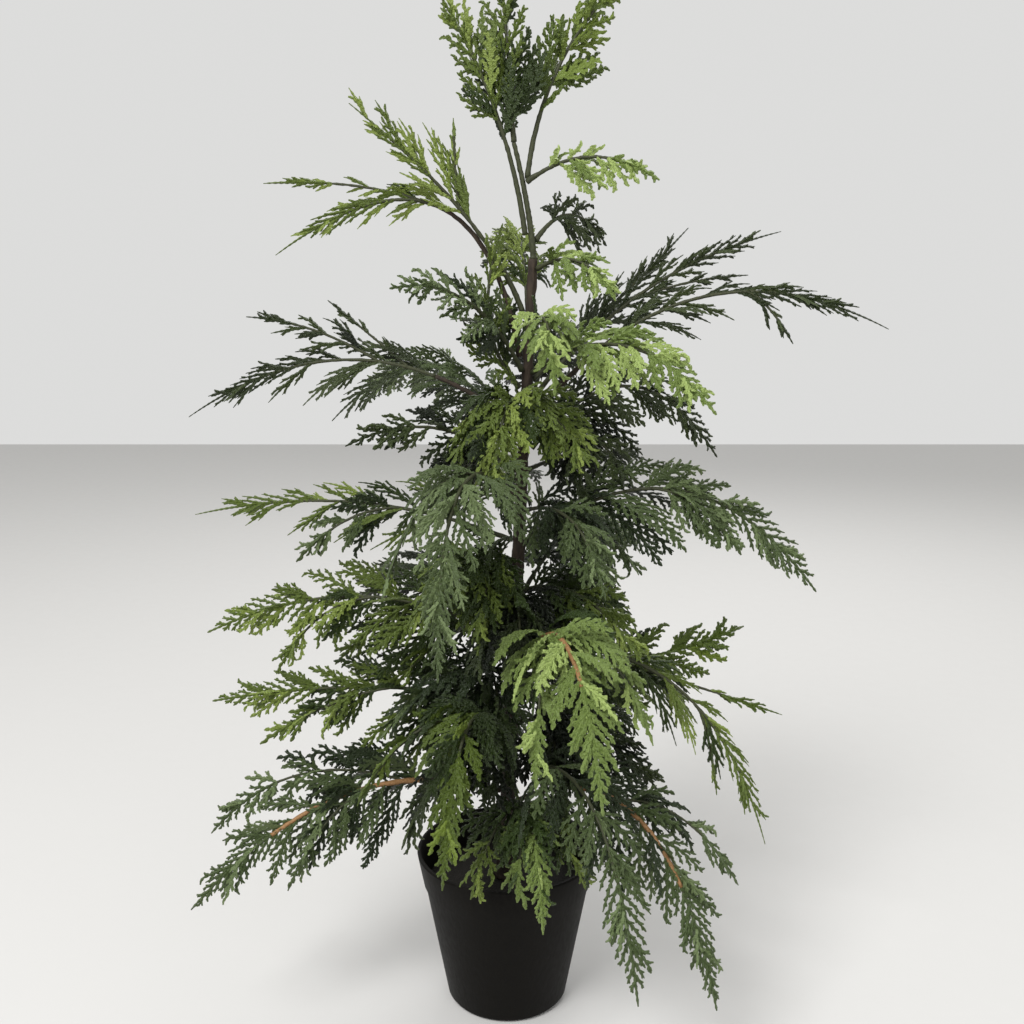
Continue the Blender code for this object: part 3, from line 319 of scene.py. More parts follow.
# How a limb is drawn: its rings along it, its sides, and its relief's depth and grain, which GRAIN_RUN
# draws out upright and a seed shifts
Limb = namedtuple("Limb", "rings sides relief grain")
GRAIN_RUN = 0.35
TRUNK_SEED = 3.0
LEADER_SEED = 5.0
SEED_BY_ROOT = 10
TRUNK_LIMB = Limb(240, 28, 0.0011, 420.0)
LEADER_LIMB = Limb(60, 12, 0.0005, 900.0)
BOUGH_LIMB = Limb(31, 10, 0.0006, 900.0)
STEM_LIMB = Limb(51, 7, 0.0005, 900.0)
BROWN_LIMB = Limb(35, 7, 0.0007, 900.0)
# Three sprays have a stouter brown stem as far as BROWN_END of their curve
BROWN_STEMS = ("front_right", "bottom_left", "bottom_right")
BROWN_SWELL = 1.5
BROWN_END = 0.72

# How finely the pot and its fill are turned, and the crumbs on the fill's top
POT_SIDES = 128
POT_SHARP = math.radians(35)
FILL_SIDES = 96
FILL_RINGS = 30
FILL_FLAT = 16
CRUMB_DEPTH = 0.0012
CRUMB_GRAIN = 260.0
CRUMB_MARGIN = 0.001

# Studio: lights by name, place, size and watts, and the camera as fitted to the photo
LIGHTS = (
    ("key", (-1.3, -2.1, 3.1), 1.4, 142.0),
    ("front", (0.9, -1.7, 0.9), 1.6, 12.0),
    ("back", (0.6, 1.8, 2.0), 1.6, 24.0),
)
LIT_SPOT = Vector((0.0, 0.0, 0.45))
SKY_COLOUR = (0.90, 0.90, 0.89, 1.0)
SKY_STRENGTH = 0.80
FLOOR_REACH = 4
CAMERA_SPOT = (0.0046, -0.93, 0.63)
CAMERA_PITCH = 10.8
FILM_WIDTH = 36.0
LENS_SHARE = 1100.0 / 1024.0


def between(first, last, share):
    return first + (last - first) * share


def axis_point(height):
    """The middle of the trunk, or of the leader above it, at a height."""
    if height > TRUNK_TOP:
        share = (height - TRUNK_TOP) / (LEADER_TOP - TRUNK_TOP)
        return Vector((TRUNK_LEAN - LEADER_BEND * share**BEND_CURVE, 0.0, height))
    share = max(0.0, height - TRUNK_FOOT - FLARE_HEIGHT) / (TRUNK_TOP - TRUNK_FOOT - FLARE_HEIGHT)
    sway = TRUNK_SWAY * math.sin(2.0 * math.pi * share)
    return Vector((TRUNK_LEAN * share**LEAN_CURVE, sway, height))


def axis_radius(height):
    """The trunk's radius at a height, with the flare at its foot, or the leader's."""
    if height > TRUNK_TOP:
        share = (height - TRUNK_TOP) / (LEADER_TOP - TRUNK_TOP)
        return between(LEADER_FOOT_RADIUS, LEADER_TOP_RADIUS, share)
    share = (height - TRUNK_FOOT) / (TRUNK_TOP - TRUNK_FOOT)
    above_foot = (height - TRUNK_FOOT) / FLARE_HEIGHT
    flare = FLARE_RADIUS * max(0.0, 1.0 - above_foot) ** 2
    return between(TRUNK_FOOT_RADIUS, TRUNK_TOP_RADIUS, share) + flare


def pot_radius(height):
    """The outside of the pot's straight side at a height."""
    return between(POT_BASE_RADIUS, POT_RIM_RADIUS, height / POT_HEIGHT)


def outward(spray):
    return Vector((math.cos(math.radians(spray.azimuth)), math.sin(math.radians(spray.azimuth)), 0.0))


def spine(spray, parent=None):
    """Points along a spray's curve, from the bark to its furthest tip, or a shoot's from its spray."""
    run, up = Vector(spray.bend), Vector(spray.tip)
    first = outward(spray) * run.x + UP * run.y
    if parent:
        root = point_along(parent, spray.root)
    elif spray.root >= LEADER_TOP:
        root = axis_point(LEADER_TOP) + UP * GAP
    else:
        lean = abs(first.normalized().z)
        root = axis_point(spray.root) + outward(spray) * (
            axis_radius(spray.root) + GAP + BOUGH_FOOT_RADIUS * lean
        )
    last = outward(spray) * up.x + UP * up.y
    shares = [step / SPINE_STEPS for step in range(SPINE_STEPS + 1)]
    return [root + first * (2 * t * (1 - t)) + last * (t * t) for t in shares]


def point_along(points, share):
    place = min(max(share, 0.0), 1.0) * (len(points) - 1)
    step = min(int(place), len(points) - 2)
    return points[step].lerp(points[step + 1], place - step)


def heading_along(points, share):
    step = min(int(min(max(share, 0.0), 1.0) * (len(points) - 1)), len(points) - 2)
    return (points[step + 1] - points[step]).normalized()


def length_of(points):
    return sum((last - first).length for first, last in zip(points, points[1:]))


def bough_share(spray):
    """How much of a spray is its bough: all that is bare of a main spray, or none."""
    return spray.bare if spray.name in MAIN_BOUGHS and spray not in SHOOTS else 0.0


def radius_along(spray, share):
    """A bough tapers to its tip, and the stem that follows tapers on from there."""
    if spray in SHOOTS:
        return between(SHOOT_RADIUS, STEM_TIP_RADIUS, share)
    if share < spray.bare:
        return between(BOUGH_FOOT_RADIUS, BOUGH_TIP_RADIUS, share / spray.bare)
    return between(BOUGH_TIP_RADIUS, STEM_TIP_RADIUS, (share - spray.bare) / (1.0 - spray.bare))


def across(spray, heading, turn):
    """The way that the fans of the upper side point, square to the stem."""
    level = UP.cross(outward(spray)).normalized()
    side = Matrix.Rotation(math.radians(spray.roll + turn), 3, heading) @ level
    return (side - heading * side.dot(heading)).normalized()


Fan = namedtuple("Fan", "share side angle length twist turn")


def fans_of(spray):
    """The fans of a spray: the fronds' rule with more places, in each of the planes."""
    dice = random.Random(f"{spray.name} {spray.azimuth}")
    found = []
    for turn, scale, more, bare in WHIP_PLANES if spray.spread < WHIP_SPREAD else PLANES:
        places = max(2, round(spray.fronds * more))
        for place in range(places):
            along = ((place + dice.uniform(*PLACE_JITTER)) / places) ** FROND_CROWD
            side = 1 if place % 2 == 0 else -1
            reach = spray.above if side > 0 else spray.below
            found.append(
                Fan(
                    between(spray.bare * bare, 1.0, between(FIRST_FROND, LAST_FROND, along)),
                    side,
                    between(ROOT_ANGLE, TIP_ANGLE, along) * spray.spread * dice.uniform(*ANGLE_JITTER),
                    reach * scale * (1.0 - FROND_TAPER * along) * dice.uniform(*LENGTH_JITTER),
                    math.radians(dice.uniform(-FROND_TWIST, FROND_TWIST)),
                    turn,
                )
            )
    return found


def painted_shade_of(dice, fan, root):
    """A fan's painted light: near the trunk mostly painted shade, and further out mostly plain or painted
    highlight.
    """
    up = min(max((root.z - CROWN_FOOT) / (TRUNK_TOP - CROWN_FOOT), 0.0), 1.0)
    out = min(1.0, math.hypot(root.x, root.y) / between(FOOT_OPEN, TOP_OPEN, up))
    # Painted light: more light along the spray, away from the trunk and up the crown
    light = ALONG_LIGHT * fan.share + OUT_LIGHT * out + UP_LIGHT * (up - UP_MIDDLE)
    light += TURNED_LIGHT if fan.turn > 0 else 0.0
    light += dice.uniform(-LIGHT_SWING, LIGHT_SWING)
    return "deep" if light < PAINTED_SHADE_BELOW else "plain" if light < PAINTED_HIGHLIGHT_ABOVE else "bright"


def rib_of(spray, points, fan):
    """The rib of a fan: out from the stem, swept to the way the tip points, sagging where that hangs."""
    forward = heading_along(points, fan.share)
    end = heading_along(points, 1.0)
    sag = FROND_SAG * (1.0 - end.z) / 2
    side = across(spray, forward, fan.turn) * fan.side
    heading = forward * math.cos(fan.angle) + side * math.sin(fan.angle)
    sections = max(FEWEST_STEPS, round(fan.length / RIB_STEP))
    rib = [point_along(points, fan.share)]
    for step in range(sections):
        bent = (step + 0.5) / sections * fan.length / max(spray.above, spray.below)
        along = (heading.lerp(end, FROND_SWEEP * bent) + DOWN * sag * bent).normalized()
        rib.append(rib[-1] + along * (fan.length / sections))
    return rib


class Sheet:
    """The gently curved face that a fan lies in: u along its rib, w to the side, n off the face."""

    def __init__(self, rib, normal):
        self.rib = np.array([tuple(point) for point in rib])
        steps = np.diff(self.rib, axis=0)
        lengths = np.linalg.norm(steps, axis=1)
        self.at = np.concatenate(([0.0], np.cumsum(lengths)))
        way = steps / lengths[:, None]
        self.way = np.concatenate((way[:1], (way[1:] + way[:-1]) / 2, way[-1:]))
        self.way /= np.linalg.norm(self.way, axis=1)[:, None]
        side = np.cross(np.array(tuple(normal)), self.way)
        self.side = side / np.linalg.norm(side, axis=1)[:, None]
        self.normal = np.cross(self.way, self.side)

    def along(self, table, u):
        return np.stack([np.interp(u, self.at, table[:, axis]) for axis in range(3)], axis=-1)

    def place(self, corners):
        u, w, n = corners[..., 0], corners[..., 1], corners[..., 2]
        over = np.maximum(u - self.at[-1], 0.0)
        found = self.along(self.rib, u) + self.along(self.way, u) * over[..., None]
        found += self.along(self.side, u) * w[..., None] + self.along(self.normal, u) * n[..., None]
        found[..., 2] -= DROOP * w * w
        return found


def flat_twigs(starts, headings, lengths, curve, half_widths, end, rings):
    """Closed three-sided strips, all with as many rings, in a fan's own flat coordinates."""
    count = len(starts)
    shares = np.linspace(0.0, 1.0, rings)
    middle = (shares[1:] + shares[:-1]) / 2
    turned = headings[:, None] * (1.0 - curve * middle[None, :])
    step = lengths[:, None] / (rings - 1)
    u = np.concatenate((np.zeros((count, 1)), np.cumsum(np.cos(turned) * step, axis=1)), axis=1)
    w = np.concatenate((np.zeros((count, 1)), np.cumsum(np.sin(turned) * step, axis=1)), axis=1)
    u, w = u + starts[:, :1], w + starts[:, 1:]
    way = headings[:, None] * (1.0 - curve * shares[None, :])
    body = twig_body(shares, end) if rings > 2 else LEAF_BODY
    half = half_widths[:, None] * body
    corners = np.zeros((count, rings, 3, 3))
    corners[:, :, 0, 0], corners[:, :, 0, 1] = u - np.sin(way) * half, w + np.cos(way) * half
    corners[:, :, 1, 0], corners[:, :, 1, 1] = u + np.sin(way) * half, w - np.cos(way) * half
    corners[:, :, 2, 0], corners[:, :, 2, 1], corners[:, :, 2, 2] = u, w, half * RIDGE * 2
    return corners, np.stack((u, w), axis=-1), way


def twig_body(shares, end):
    """A twig's width along it, with the swellings of its scales."""
    body = np.minimum(1.0, TWIG_FOOT + TWIG_WIDENS * shares) * between(1.0, end, shares**TWIG_NARROWS)
    body[1::2] *= 1.0 + SCALE_DEPTH
    body[2::2] *= 1.0 - SCALE_DEPTH
    body[-1] = min(end, BLUNT_END)
    return body


def fan_outline(share):
    """How long a side twig is along the rib, against the longest."""
    return min(1.0, FAN_FOOT + FAN_WIDENS * share) * (1.0 - share) ** FAN_NARROWS


def fan_strips(habit, length, dice):
    """All strips of a fan, in its own flat coordinates, grouped by side twig."""
    rings = max(FEWEST_RIB_RINGS, round(length / RING) + 1)
    width = np.array([habit.half_width * RIB_WIDTH])
    rib, _, _ = flat_twigs(np.zeros((1, 2)), np.zeros(1), np.array([length]), 0.0, width, habit.end, rings)
    groups = [[rib]]
    open_angle = habit.angle * dice.uniform(*OPEN_JITTER)
    place, side = habit.gap * FIRST_TWIG, dice.choice((-1, 1))
    while place < length * habit.last:
        share = place / length
        reach = habit.share * length * fan_outline(share) * dice.uniform(*REACH_JITTER)
        reach = max(reach, habit.leaf)
        angle = open_angle * (1.0 - CLOSING * share) * dice.uniform(*TURN_JITTER)
        groups.append(side_twig(habit, np.array([[place, 0.0]]), side * angle, reach, dice))
        place += habit.gap * dice.uniform(*GAP_JITTER)
        side = -side
    return groups


def side_twig(habit, start, angle, reach, dice):
    """A side twig with its leaflets, all in one tilt off the fan's face."""
    rings = max(FEWEST_TWIG_RINGS, round(reach / RING) + 1)
    width = np.array([habit.half_width])
    strip, path, way = flat_twigs(
        start, np.array([angle]), np.array([reach]), TWIG_CURVE, width, habit.end, rings
    )
    strips = [strip]
    places = np.arange(habit.leaf_gap * FIRST_LEAF, reach * LAST_LEAF, habit.leaf_gap)
    if len(places):
        shares = places / reach
        at = np.linspace(0.0, 1.0, rings)
        starts = np.stack([np.interp(shares, at, path[0, :, axis]) for axis in range(2)], axis=-1)
        sides = np.where(np.arange(len(places)) % 2 == 0, 1.0, -1.0) * dice.choice((-1, 1))
        headings = np.interp(shares, at, way[0]) + sides * habit.angle_leaf
        uneven = np.array([dice.uniform(*LEAF_JITTER) for _ in places])
        lengths = habit.leaf * (1.0 - LEAF_TAPER * shares) * uneven
        widths = np.full(len(places), habit.half_width * LEAF_WIDTH)
        leaves, _, _ = flat_twigs(starts, headings, lengths, 0.0, widths, habit.end, 2)
        strips.append(leaves)
    tilt = math.tan(dice.uniform(-TILT, TILT))
    for made in strips:
        made[..., 2] += tilt * np.abs(made[..., 1])
    return strips


def is_clear(points):
    """Whether all points keep clear of the trunk, the pot and the table."""
    z = points[:, 2]
    if z.min() < TABLE_CLEAR:
        return False
    level = np.clip(z, TRUNK_FOOT, LEADER_TOP)
    share = np.clip((level - TRUNK_FOOT - FLARE_HEIGHT) / (TRUNK_TOP - TRUNK_FOOT - FLARE_HEIGHT), 0.0, 1.0)
    above = np.clip((level - TRUNK_TOP) / (LEADER_TOP - TRUNK_TOP), 0.0, 1.0)
    x = TRUNK_LEAN * share**LEAN_CURVE - LEADER_BEND * above**BEND_CURVE
    y = TRUNK_SWAY * np.sin(2.0 * np.pi * share)
    off = np.sqrt((points[:, 0] - x) ** 2 + (points[:, 1] - y) ** 2 + (z - level) ** 2)
    if (off < TRUNK_TOP_RADIUS + LIMB_CLEAR).any():
        return False
    low = z < POT_HEIGHT + LIMB_CLEAR
    wall = between(POT_BASE_RADIUS, POT_RIM_RADIUS, z / POT_HEIGHT) + RIM_STEP + LIMB_CLEAR
    return not (low & (np.hypot(points[:, 0], points[:, 1]) < wall)).any()


class Strips:
    """Closed three-sided strips of many twigs, gathered for one mesh."""

    def __init__(self):
        self.corners, self.counts = [], []

    def add(self, corners):
        self.corners.append(corners.reshape(-1, 3, 3))
        self.counts.extend([corners.shape[1]] * corners.shape[0])

    def mesh(self, name):
        points = np.concatenate(self.corners).reshape(-1, 3)
        ends = np.cumsum(self.counts)
        starts = ends - np.array(self.counts)
        ring = np.arange(ends[-1])
        follow = 3 * np.setdiff1d(ring, ends - 1)
        quads = [
            np.stack((follow + a, follow + b, follow + 3 + b, follow + 3 + a), axis=1)
            for a, b in ((0, 1), (1, 2), (2, 0))
        ]
        first, last = 3 * starts, 3 * (ends - 1)
        caps = [
            np.stack((first + 2, first + 1, first), axis=1),
            np.stack((last, last + 1, last + 2), axis=1),
        ]
        return mesh_of(name, points, np.concatenate(quads), np.concatenate(caps))


def mesh_of(name, points, quads, triangles):
    """A mesh from arrays of points, four-sided and three-sided faces."""
    mesh = bpy.data.meshes.new(name)
    mesh.vertices.add(len(points))
    mesh.vertices.foreach_set("co", np.ascontiguousarray(points, dtype=np.float32).ravel())
    mesh.loops.add(quads.size + triangles.size)
    corners = np.concatenate((quads.ravel(), triangles.ravel()))
    mesh.loops.foreach_set("vertex_index", corners.astype(np.int32))
    mesh.polygons.add(len(quads) + len(triangles))
    begins = np.concatenate((np.arange(len(quads)) * 4, quads.size + np.arange(len(triangles)) * 3))
    mesh.polygons.foreach_set("loop_start", begins.astype(np.int32))
    mesh.update(calc_edges=True)
    mesh.validate()
    return mesh


def facing(spray, normal):
    """Turns a fan's ridged face up and out."""
    return normal if normal.dot(UP + outward(spray) * FACING_OUT) > 0 else -normal


def grow(spray, points, pieces):
    """All fans of a spray, dealt to the pieces of its tint."""
    dice = random.Random(f"fine {spray.name} {spray.azimuth}")
    habit = habit_of(spray)
    rest = length_of(points) * (1.0 - LEAD_START)
    shares = [between(LEAD_START, 1.0, step / LEAD_STEPS) for step in range(LEAD_STEPS + 1)]
    lead = [point_along(points, share) for share in shares]
    start = heading_along(points, LEAD_START)
    normal = facing(spray, start.cross(across(spray, start, 0)).normalized())
    slim = habit._replace(share=habit.share * LEAD_WIDTH, last=habit.last * LEAD_LAST)
    add_fan(pieces[spray.tint, "plain"], Sheet(lead, normal), slim, rest, dice)
    for fan in fans_of(spray):
        rib = rib_of(spray, points, fan)
        first = (rib[1] - rib[0]).normalized()
        normal = first.cross(heading_along(points, fan.share) * -fan.side).normalized()
        normal = facing(spray, Matrix.Rotation(fan.twist, 3, first) @ normal)
        # Each fan is dealt painted shade, plain colour or painted highlight by where it stands in the crown
        add_fan(pieces[spray.tint, painted_shade_of(dice, fan, rib[0])], Sheet(rib, normal), habit, fan.length, dice)


def habit_of(spray):
    if spray.spread < WHIP_SPREAD:
        return HABITS["whip"]
    return HABITS["broad" if spray.tint in BROAD_TINTS else "open"]


def add_fan(strips, sheet, habit, length, dice):
    """Adds a fan's strips, except for those that would touch the trunk, the pot or the table."""
    for group in fan_strips(habit, length, dice):
        placed = [sheet.place(made) for made in group]
        if is_clear(placed[0].reshape(-1, 3)[3:]):
            for made in placed:
                strips.add(made)


def tube(points, radii, limb, seed):
    """A round limb with relief: points and quads, and its end caps as fans of triangles."""
    sides, grain = limb.sides, limb.grain
    behind, ahead = points[:1] + points[:-1], points[1:] + points[-1:]
    ways = [(last - first).normalized() for first, last in zip(behind, ahead)]
    side = ways[0].orthogonal().normalized()
    rows = []
    for point, way, radius in zip(points, ways, radii):
        side = (side - way * side.dot(way)).normalized()
        other = way.cross(side)
        for step in range(sides):
            angle = 2.0 * math.pi * step / sides
            out = side * math.cos(angle) + other * math.sin(angle)
            spot = point + out * radius
            lookup = Vector((spot.x * grain, spot.y * grain, spot.z * grain * GRAIN_RUN + seed))
            rows.append(spot + out * (limb.relief * noise.noise(lookup)))
    rings = len(points)
    quads, caps = [], []
    for ring in range(rings - 1):
        for step in range(sides):
            after = (step + 1) % sides
            low, high = ring * sides, (ring + 1) * sides
            quads.append((low + step, low + after, high + after, high + step))
    top = (rings - 1) * sides
    for step in range(sides):
        after = (step + 1) % sides
        caps.append((after, step, rings * sides))
        caps.append((top + step, top + after, rings * sides + 1))
    rows += [points[0], points[-1]]
    return np.array([tuple(row) for row in rows]), np.array(quads), np.array(caps)


def joined(name, parts):
    """One mesh from several sets of points, quads and triangles."""
    points, quads, caps, base = [], [], [], 0
    for part_points, part_quads, part_caps in parts:
        points.append(part_points)
        quads.append(part_quads + base)
        caps.append(part_caps + base)
        base += len(part_points)
    return mesh_of(name, np.concatenate(points), np.concatenate(quads), np.concatenate(caps))


def turned(name, profile, sides):
    """A closed solid of revolution. The profile runs from the axis, up and round, and back to the axis."""
    rings = len(profile)
    angles = np.linspace(0.0, 2.0 * np.pi, sides, endpoint=False)
    profile = np.array(profile)
    inner = profile[1:-1]
    points = np.stack(
        (
            np.outer(inner[:, 0], np.cos(angles)),
            np.outer(inner[:, 0], np.sin(angles)),
            np.repeat(inner[:, 1:], sides, axis=1),
        ),
        axis=-1,
    ).reshape(-1, 3)
    points = np.concatenate((points, [[0.0, 0.0, profile[0, 1]], [0.0, 0.0, profile[-1, 1]]]))
    quads, caps = [], []
    steps = np.arange(sides)
    after = (steps + 1) % sides
    for ring in range(rings - 3):
        low, high = ring * sides, (ring + 1) * sides
        quads.append(np.stack((low + steps, high + steps, high + after, low + after), axis=1))
    last = (rings - 3) * sides
    caps.append(np.stack((steps, after, np.full(sides, len(points) - 2)), axis=1))
    caps.append(np.stack((last + after, last + steps, np.full(sides, len(points) - 1)), axis=1))
    return mesh_of(name, points, np.concatenate(quads), np.concatenate(caps))


def outward_faces(mesh):
    """Flips a closed mesh where its faces look inward."""
    mesh.calc_loop_triangles()
    count = len(mesh.loop_triangles)
    corners = np.zeros(count * 3, np.int32)
    mesh.loop_triangles.foreach_get("vertices", corners)
    points = np.zeros(len(mesh.vertices) * 3, np.float32)
    mesh.vertices.foreach_get("co", points)
    a, b, c = points.reshape(-1, 3)[corners.reshape(-1, 3)].astype(float).transpose(1, 0, 2)
    if np.einsum("ij,ij->i", a, np.cross(b, c)).sum() < 0:
        mesh.flip_normals()


def piece(name, mesh, material, nodes, smooth=True):
    """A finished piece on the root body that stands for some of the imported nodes."""
    outward_faces(mesh)
    mesh.materials.append(material)
    mesh.polygons.foreach_set("use_smooth", np.full(len(mesh.polygons), smooth))
    made = bpy.data.objects.new(name, mesh)
    bpy.context.scene.collection.objects.link(made)
    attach(made, "root")
    if nodes:
        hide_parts(*nodes)
    return made


def finish(name, colour, look):
    """A material with uneven gloss and a fine relief, and a mottled colour where its look has one."""
    material = bpy.data.materials.new(name)
    material.use_nodes = True
    nodes, links = material.node_tree.nodes, material.node_tree.links
    shader = nodes["Principled BSDF"]
    shader.inputs["Base Color"].default_value = (*colour, 1.0)
    shader.inputs["Specular IOR Level"].default_value = look.specular
    place = nodes.new("ShaderNodeTexCoord")
    mapping = nodes.new("ShaderNodeMapping")
    mapping.inputs["Scale"].default_value = look.stretch
    grain = nodes.new("ShaderNodeTexNoise")
    grain.inputs["Scale"].default_value = look.grain
    grain.inputs["Detail"].default_value = GRAIN_DETAIL
    links.new(place.outputs["Object"], mapping.inputs["Vector"])
    links.new(mapping.outputs["Vector"], grain.inputs["Vector"])
    gloss = nodes.new("ShaderNodeMapRange")
    gloss.inputs["To Min"].default_value = look.roughness - GLOSS_SWING
    gloss.inputs["To Max"].default_value = min(1.0, look.roughness + GLOSS_SWING)
    links.new(grain.outputs["Fac"], gloss.inputs["Value"])
    links.new(gloss.outputs["Result"], shader.inputs["Roughness"])
    relief = nodes.new("ShaderNodeBump")
    relief.inputs["Strength"].default_value = look.strength
    relief.inputs["Distance"].default_value = look.depth
    links.new(grain.outputs["Fac"], relief.inputs["Height"])
    links.new(relief.outputs["Normal"], shader.inputs["Normal"])
    if look.mottle:
        ramp = nodes.new("ShaderNodeValToRGB")
        ends = ((MOTTLE_FROM, colour), (MOTTLE_TO, look.mottle))
        for element, (position, end) in zip(ramp.color_ramp.elements, ends):
            element.position = position
            element.color = (*end, 1.0)
        links.new(grain.outputs["Fac"], ramp.inputs["Fac"])
        links.new(ramp.outputs["Color"], shader.inputs["Base Color"])
    return material


def painted_light_tint(colour, shade):
    """A tint with painted light: the painted shade darkens it and makes it greener, and the painted highlight
    lightens it and makes it paler.
    """
    return tuple(part * share for part, share in zip(colour, PAINTED_LIGHT_SHADES[shade]))


def make_foliage(spines):
    """The sprays, one piece to a tint and its painted light (painted shade, plain, painted highlight), each
    standing for all masses of its tint.
    """
    pieces = {(tint, shade): Strips() for tint in TINTS for shade in PAINTED_LIGHT_SHADES}
    for spray in SPRAYS + SHOOTS:
        grow(spray, spines[spray], pieces)
    for (tint, shade), strips in pieces.items():
        masses = ["mass_" + spray.name for spray in SPRAYS if spray.tint == tint]
        # Painted light goes into the leaf colour here: a darker tint for painted shade, a lighter, paler one
        # for painted highlight
        leaf = finish(f"leaf_{tint}_{shade}", painted_light_tint(TINTS[tint], shade), LEAF_FINISH)
        mesh = strips.mesh(f"sprays_{tint}_{shade}")
        piece(f"sprays_{tint}_{shade}", mesh, leaf, masses, smooth=False)


def limb_along(spray, points, first, last, limb, swell=1.0):
    """The part of a spray's limb from one share of its curve to another."""
    shares = [between(first, last, ring / (limb.rings - 1)) for ring in range(limb.rings)]
    places = [point_along(points, share) for share in shares]
    radii = [radius_along(spray, share) * swell for share in shares]
    return tube(places, radii, limb, spray.root * SEED_BY_ROOT)


def axis_limb(foot, top, limb, seed):
    """The part of the trunk and its leader between two heights."""
    heights = np.linspace(foot, top, limb.rings)
    return tube([axis_point(z) for z in heights], [axis_radius(z) for z in heights], limb, seed)


def make_limbs(spines):
    """The trunk, its leader, the boughs and the thin stems that carry the fans."""
    bark = finish("bark", BARK_COLOUR, BARK_FINISH)
    wire = finish("wire", STEM_COLOUR, WIRE_FINISH)
    brown = finish("brown_twig", BROWN_COLOUR, BROWN_FINISH)
    trunk = axis_limb(TRUNK_FOOT, TRUNK_TOP, TRUNK_LIMB, TRUNK_SEED)
    piece("trunk_bark", joined("trunk_bark", [trunk]), bark, ["trunk"])
    leader = axis_limb(TRUNK_TOP, LEADER_TOP, LEADER_LIMB, LEADER_SEED)
    piece("leader_bark", joined("leader_bark", [leader]), wire, ["leader"])
    boughs, stems, browns = [], [], []
    for spray in SPRAYS + SHOOTS:
        points = spines[spray]
        share = bough_share(spray)
        if share:
            boughs.append(limb_along(spray, points, 0.0, share, BOUGH_LIMB))
        if spray.name in BROWN_STEMS and spray in SPRAYS:
            browns.append(limb_along(spray, points, share, BROWN_END, BROWN_LIMB, BROWN_SWELL))
            share = BROWN_END
        stems.append(limb_along(spray, points, share, STEM_END, STEM_LIMB))
    names = ["bough_" + name for name in MAIN_BOUGHS]
    piece("bough_bark", joined("bough_bark", boughs), bark, names)
    piece("stems_green", joined("stems_green", stems), wire, [])
    piece("stems_brown", joined("stems_brown", browns), brown, [])


def make_pot():
    """The nursery pot, open at its top, with its band below the rim."""
    plastic = finish("pot_plastic", POT_COLOUR, POT_FINISH)
    rim_foot = POT_HEIGHT - RIM_BAND
    band = POT_RIM_RADIUS - pot_radius(POT_HEIGHT) + RIM_STEP
    profile = (
        (0.0, POT_FLOOR),
        (pot_radius(POT_FLOOR) - POT_WALL, POT_FLOOR),
        (pot_radius(rim_foot) - POT_WALL, rim_foot),
        (pot_radius(POT_HEIGHT) - POT_WALL, POT_HEIGHT - POT_WALL / 2),
        (pot_radius(POT_HEIGHT) - POT_WALL / 2, POT_HEIGHT),
        (pot_radius(POT_HEIGHT) + band - RIM_STEP / 2, POT_HEIGHT),
        (pot_radius(POT_HEIGHT) + band, POT_HEIGHT - RIM_STEP),
        (pot_radius(rim_foot) + band, rim_foot),
        (pot_radius(rim_foot), rim_foot - RIM_STEP),
        (pot_radius(POT_FOOT_ROUND), POT_FOOT_ROUND),
        (pot_radius(0.0) - POT_FOOT_ROUND / 3, POT_FOOT_ROUND / 3),
        (pot_radius(0.0) - POT_FOOT_ROUND, 0.0),
        (0.0, 0.0),
    )
    shell = piece("pot_shell", turned("pot_shell", profile, POT_SIDES), plastic, ["pot"])
    shell.data.set_sharp_from_angle(angle=POT_SHARP)


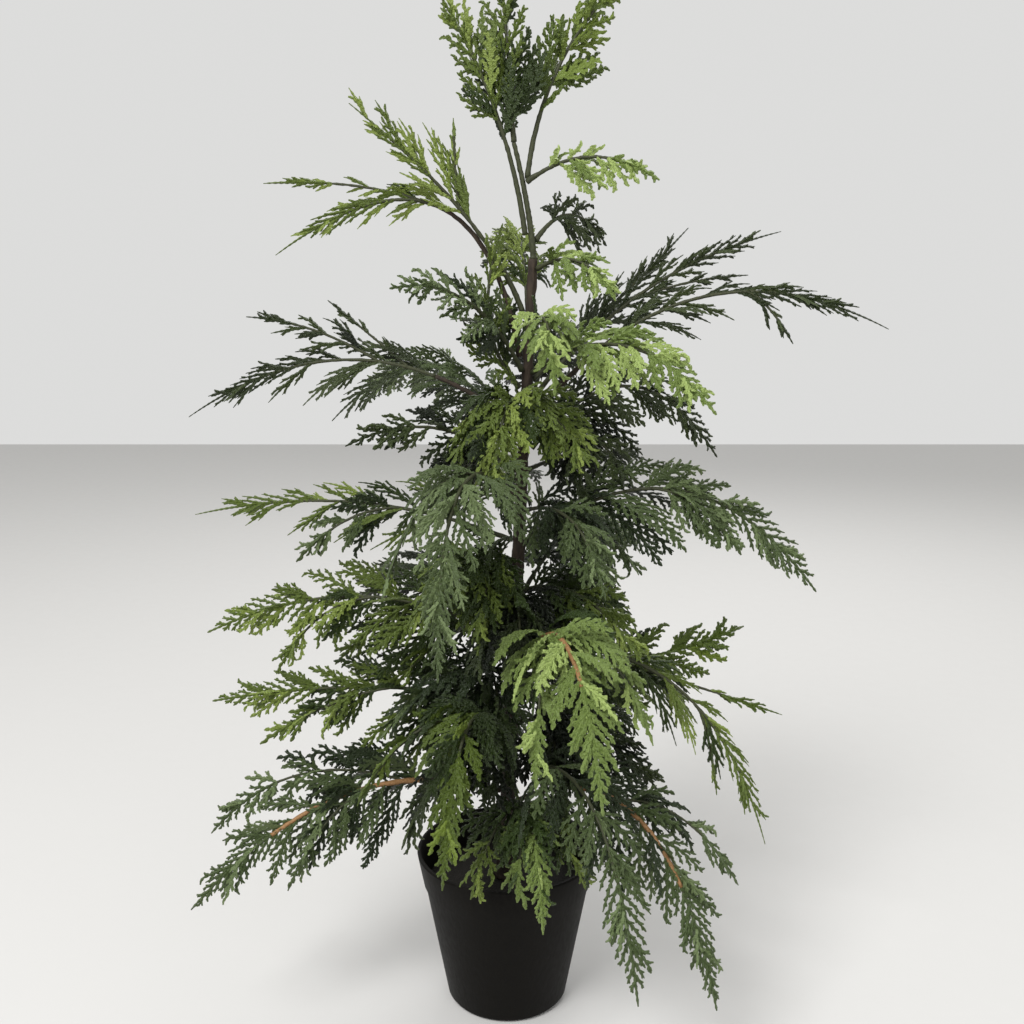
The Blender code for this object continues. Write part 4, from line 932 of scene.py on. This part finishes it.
def make_fill():
    """The fill: flat in the middle, dished to the wall, and crumbly on top."""
    crust = finish("fill_crust", FILL_COLOUR, FILL_FINISH)
    inner = POT_WALL + 2 * GAP
    foot = POT_FLOOR + GAP
    edge = FILL_LEVEL - FILL_DISH
    radius = pot_radius(edge) - inner
    profile = [(0.0, FILL_LEVEL)]
    for ring in range(1, FILL_RINGS + 1):
        dished = max(0, ring - FILL_FLAT) / (FILL_RINGS - FILL_FLAT)
        profile.append((radius * ring / FILL_RINGS, between(FILL_LEVEL, edge, dished)))
    profile += [(pot_radius(foot) - inner, foot), (0.0, foot)]
    mesh = turned("fill_crust", profile, FILL_SIDES)
    for vertex in mesh.vertices:
        within = math.hypot(vertex.co.x, vertex.co.y) < radius - CRUMB_MARGIN
        if vertex.co.z > edge - CRUMB_MARGIN and within:
            vertex.co.z -= CRUMB_DEPTH * abs(noise.noise(vertex.co * CRUMB_GRAIN))
    piece("fill_crust", mesh, crust, ["fill"])


def make_stage():
    """A pale floor, soft lights and the camera of the photo."""
    floor = bpy.data.meshes.new("floor")
    corners = [(x * FLOOR_REACH, y * FLOOR_REACH, 0) for x, y in ((-1, -1), (1, -1), (1, 1), (-1, 1))]
    floor.from_pydata(corners, [], [(0, 1, 2, 3)])
    floor.materials.append(finish("floor", FLOOR_COLOUR, FLOOR_FINISH))
    ground = bpy.data.objects.new("floor", floor)
    bpy.context.scene.collection.objects.link(ground)
    world = bpy.data.worlds.new("studio")
    bpy.context.scene.world = world
    world.use_nodes = True
    sky = world.node_tree.nodes["Background"]
    sky.inputs["Color"].default_value = SKY_COLOUR
    sky.inputs["Strength"].default_value = SKY_STRENGTH
    for name, spot, size, power in LIGHTS:
        light = bpy.data.lights.new(name, "AREA")
        light.size = size
        light.energy = power
        lamp = bpy.data.objects.new(name, light)
        lamp.location = spot
        lamp.rotation_euler = (LIT_SPOT - Vector(spot)).to_track_quat("-Z", "Y").to_euler()
        bpy.context.scene.collection.objects.link(lamp)
    camera = bpy.data.objects.new("camera", bpy.data.cameras.new("camera"))
    camera.data.sensor_width = FILM_WIDTH
    camera.data.lens = FILM_WIDTH * LENS_SHARE
    camera.location = CAMERA_SPOT
    camera.rotation_euler = (math.radians(90.0 - CAMERA_PITCH), 0.0, 0.0)
    bpy.context.scene.collection.objects.link(camera)
    bpy.context.scene.camera = camera
    bpy.context.scene.view_settings.view_transform = "Standard"


def main():
    spines = {spray: spine(spray) for spray in SPRAYS}
    mains = {spray.name: points for spray, points in spines.items()}
    spines.update((shoot, spine(shoot, mains[shoot.name])) for shoot in SHOOTS)
    make_foliage(spines)
    make_limbs(spines)
    make_pot()
    make_fill()
    make_stage()


main()
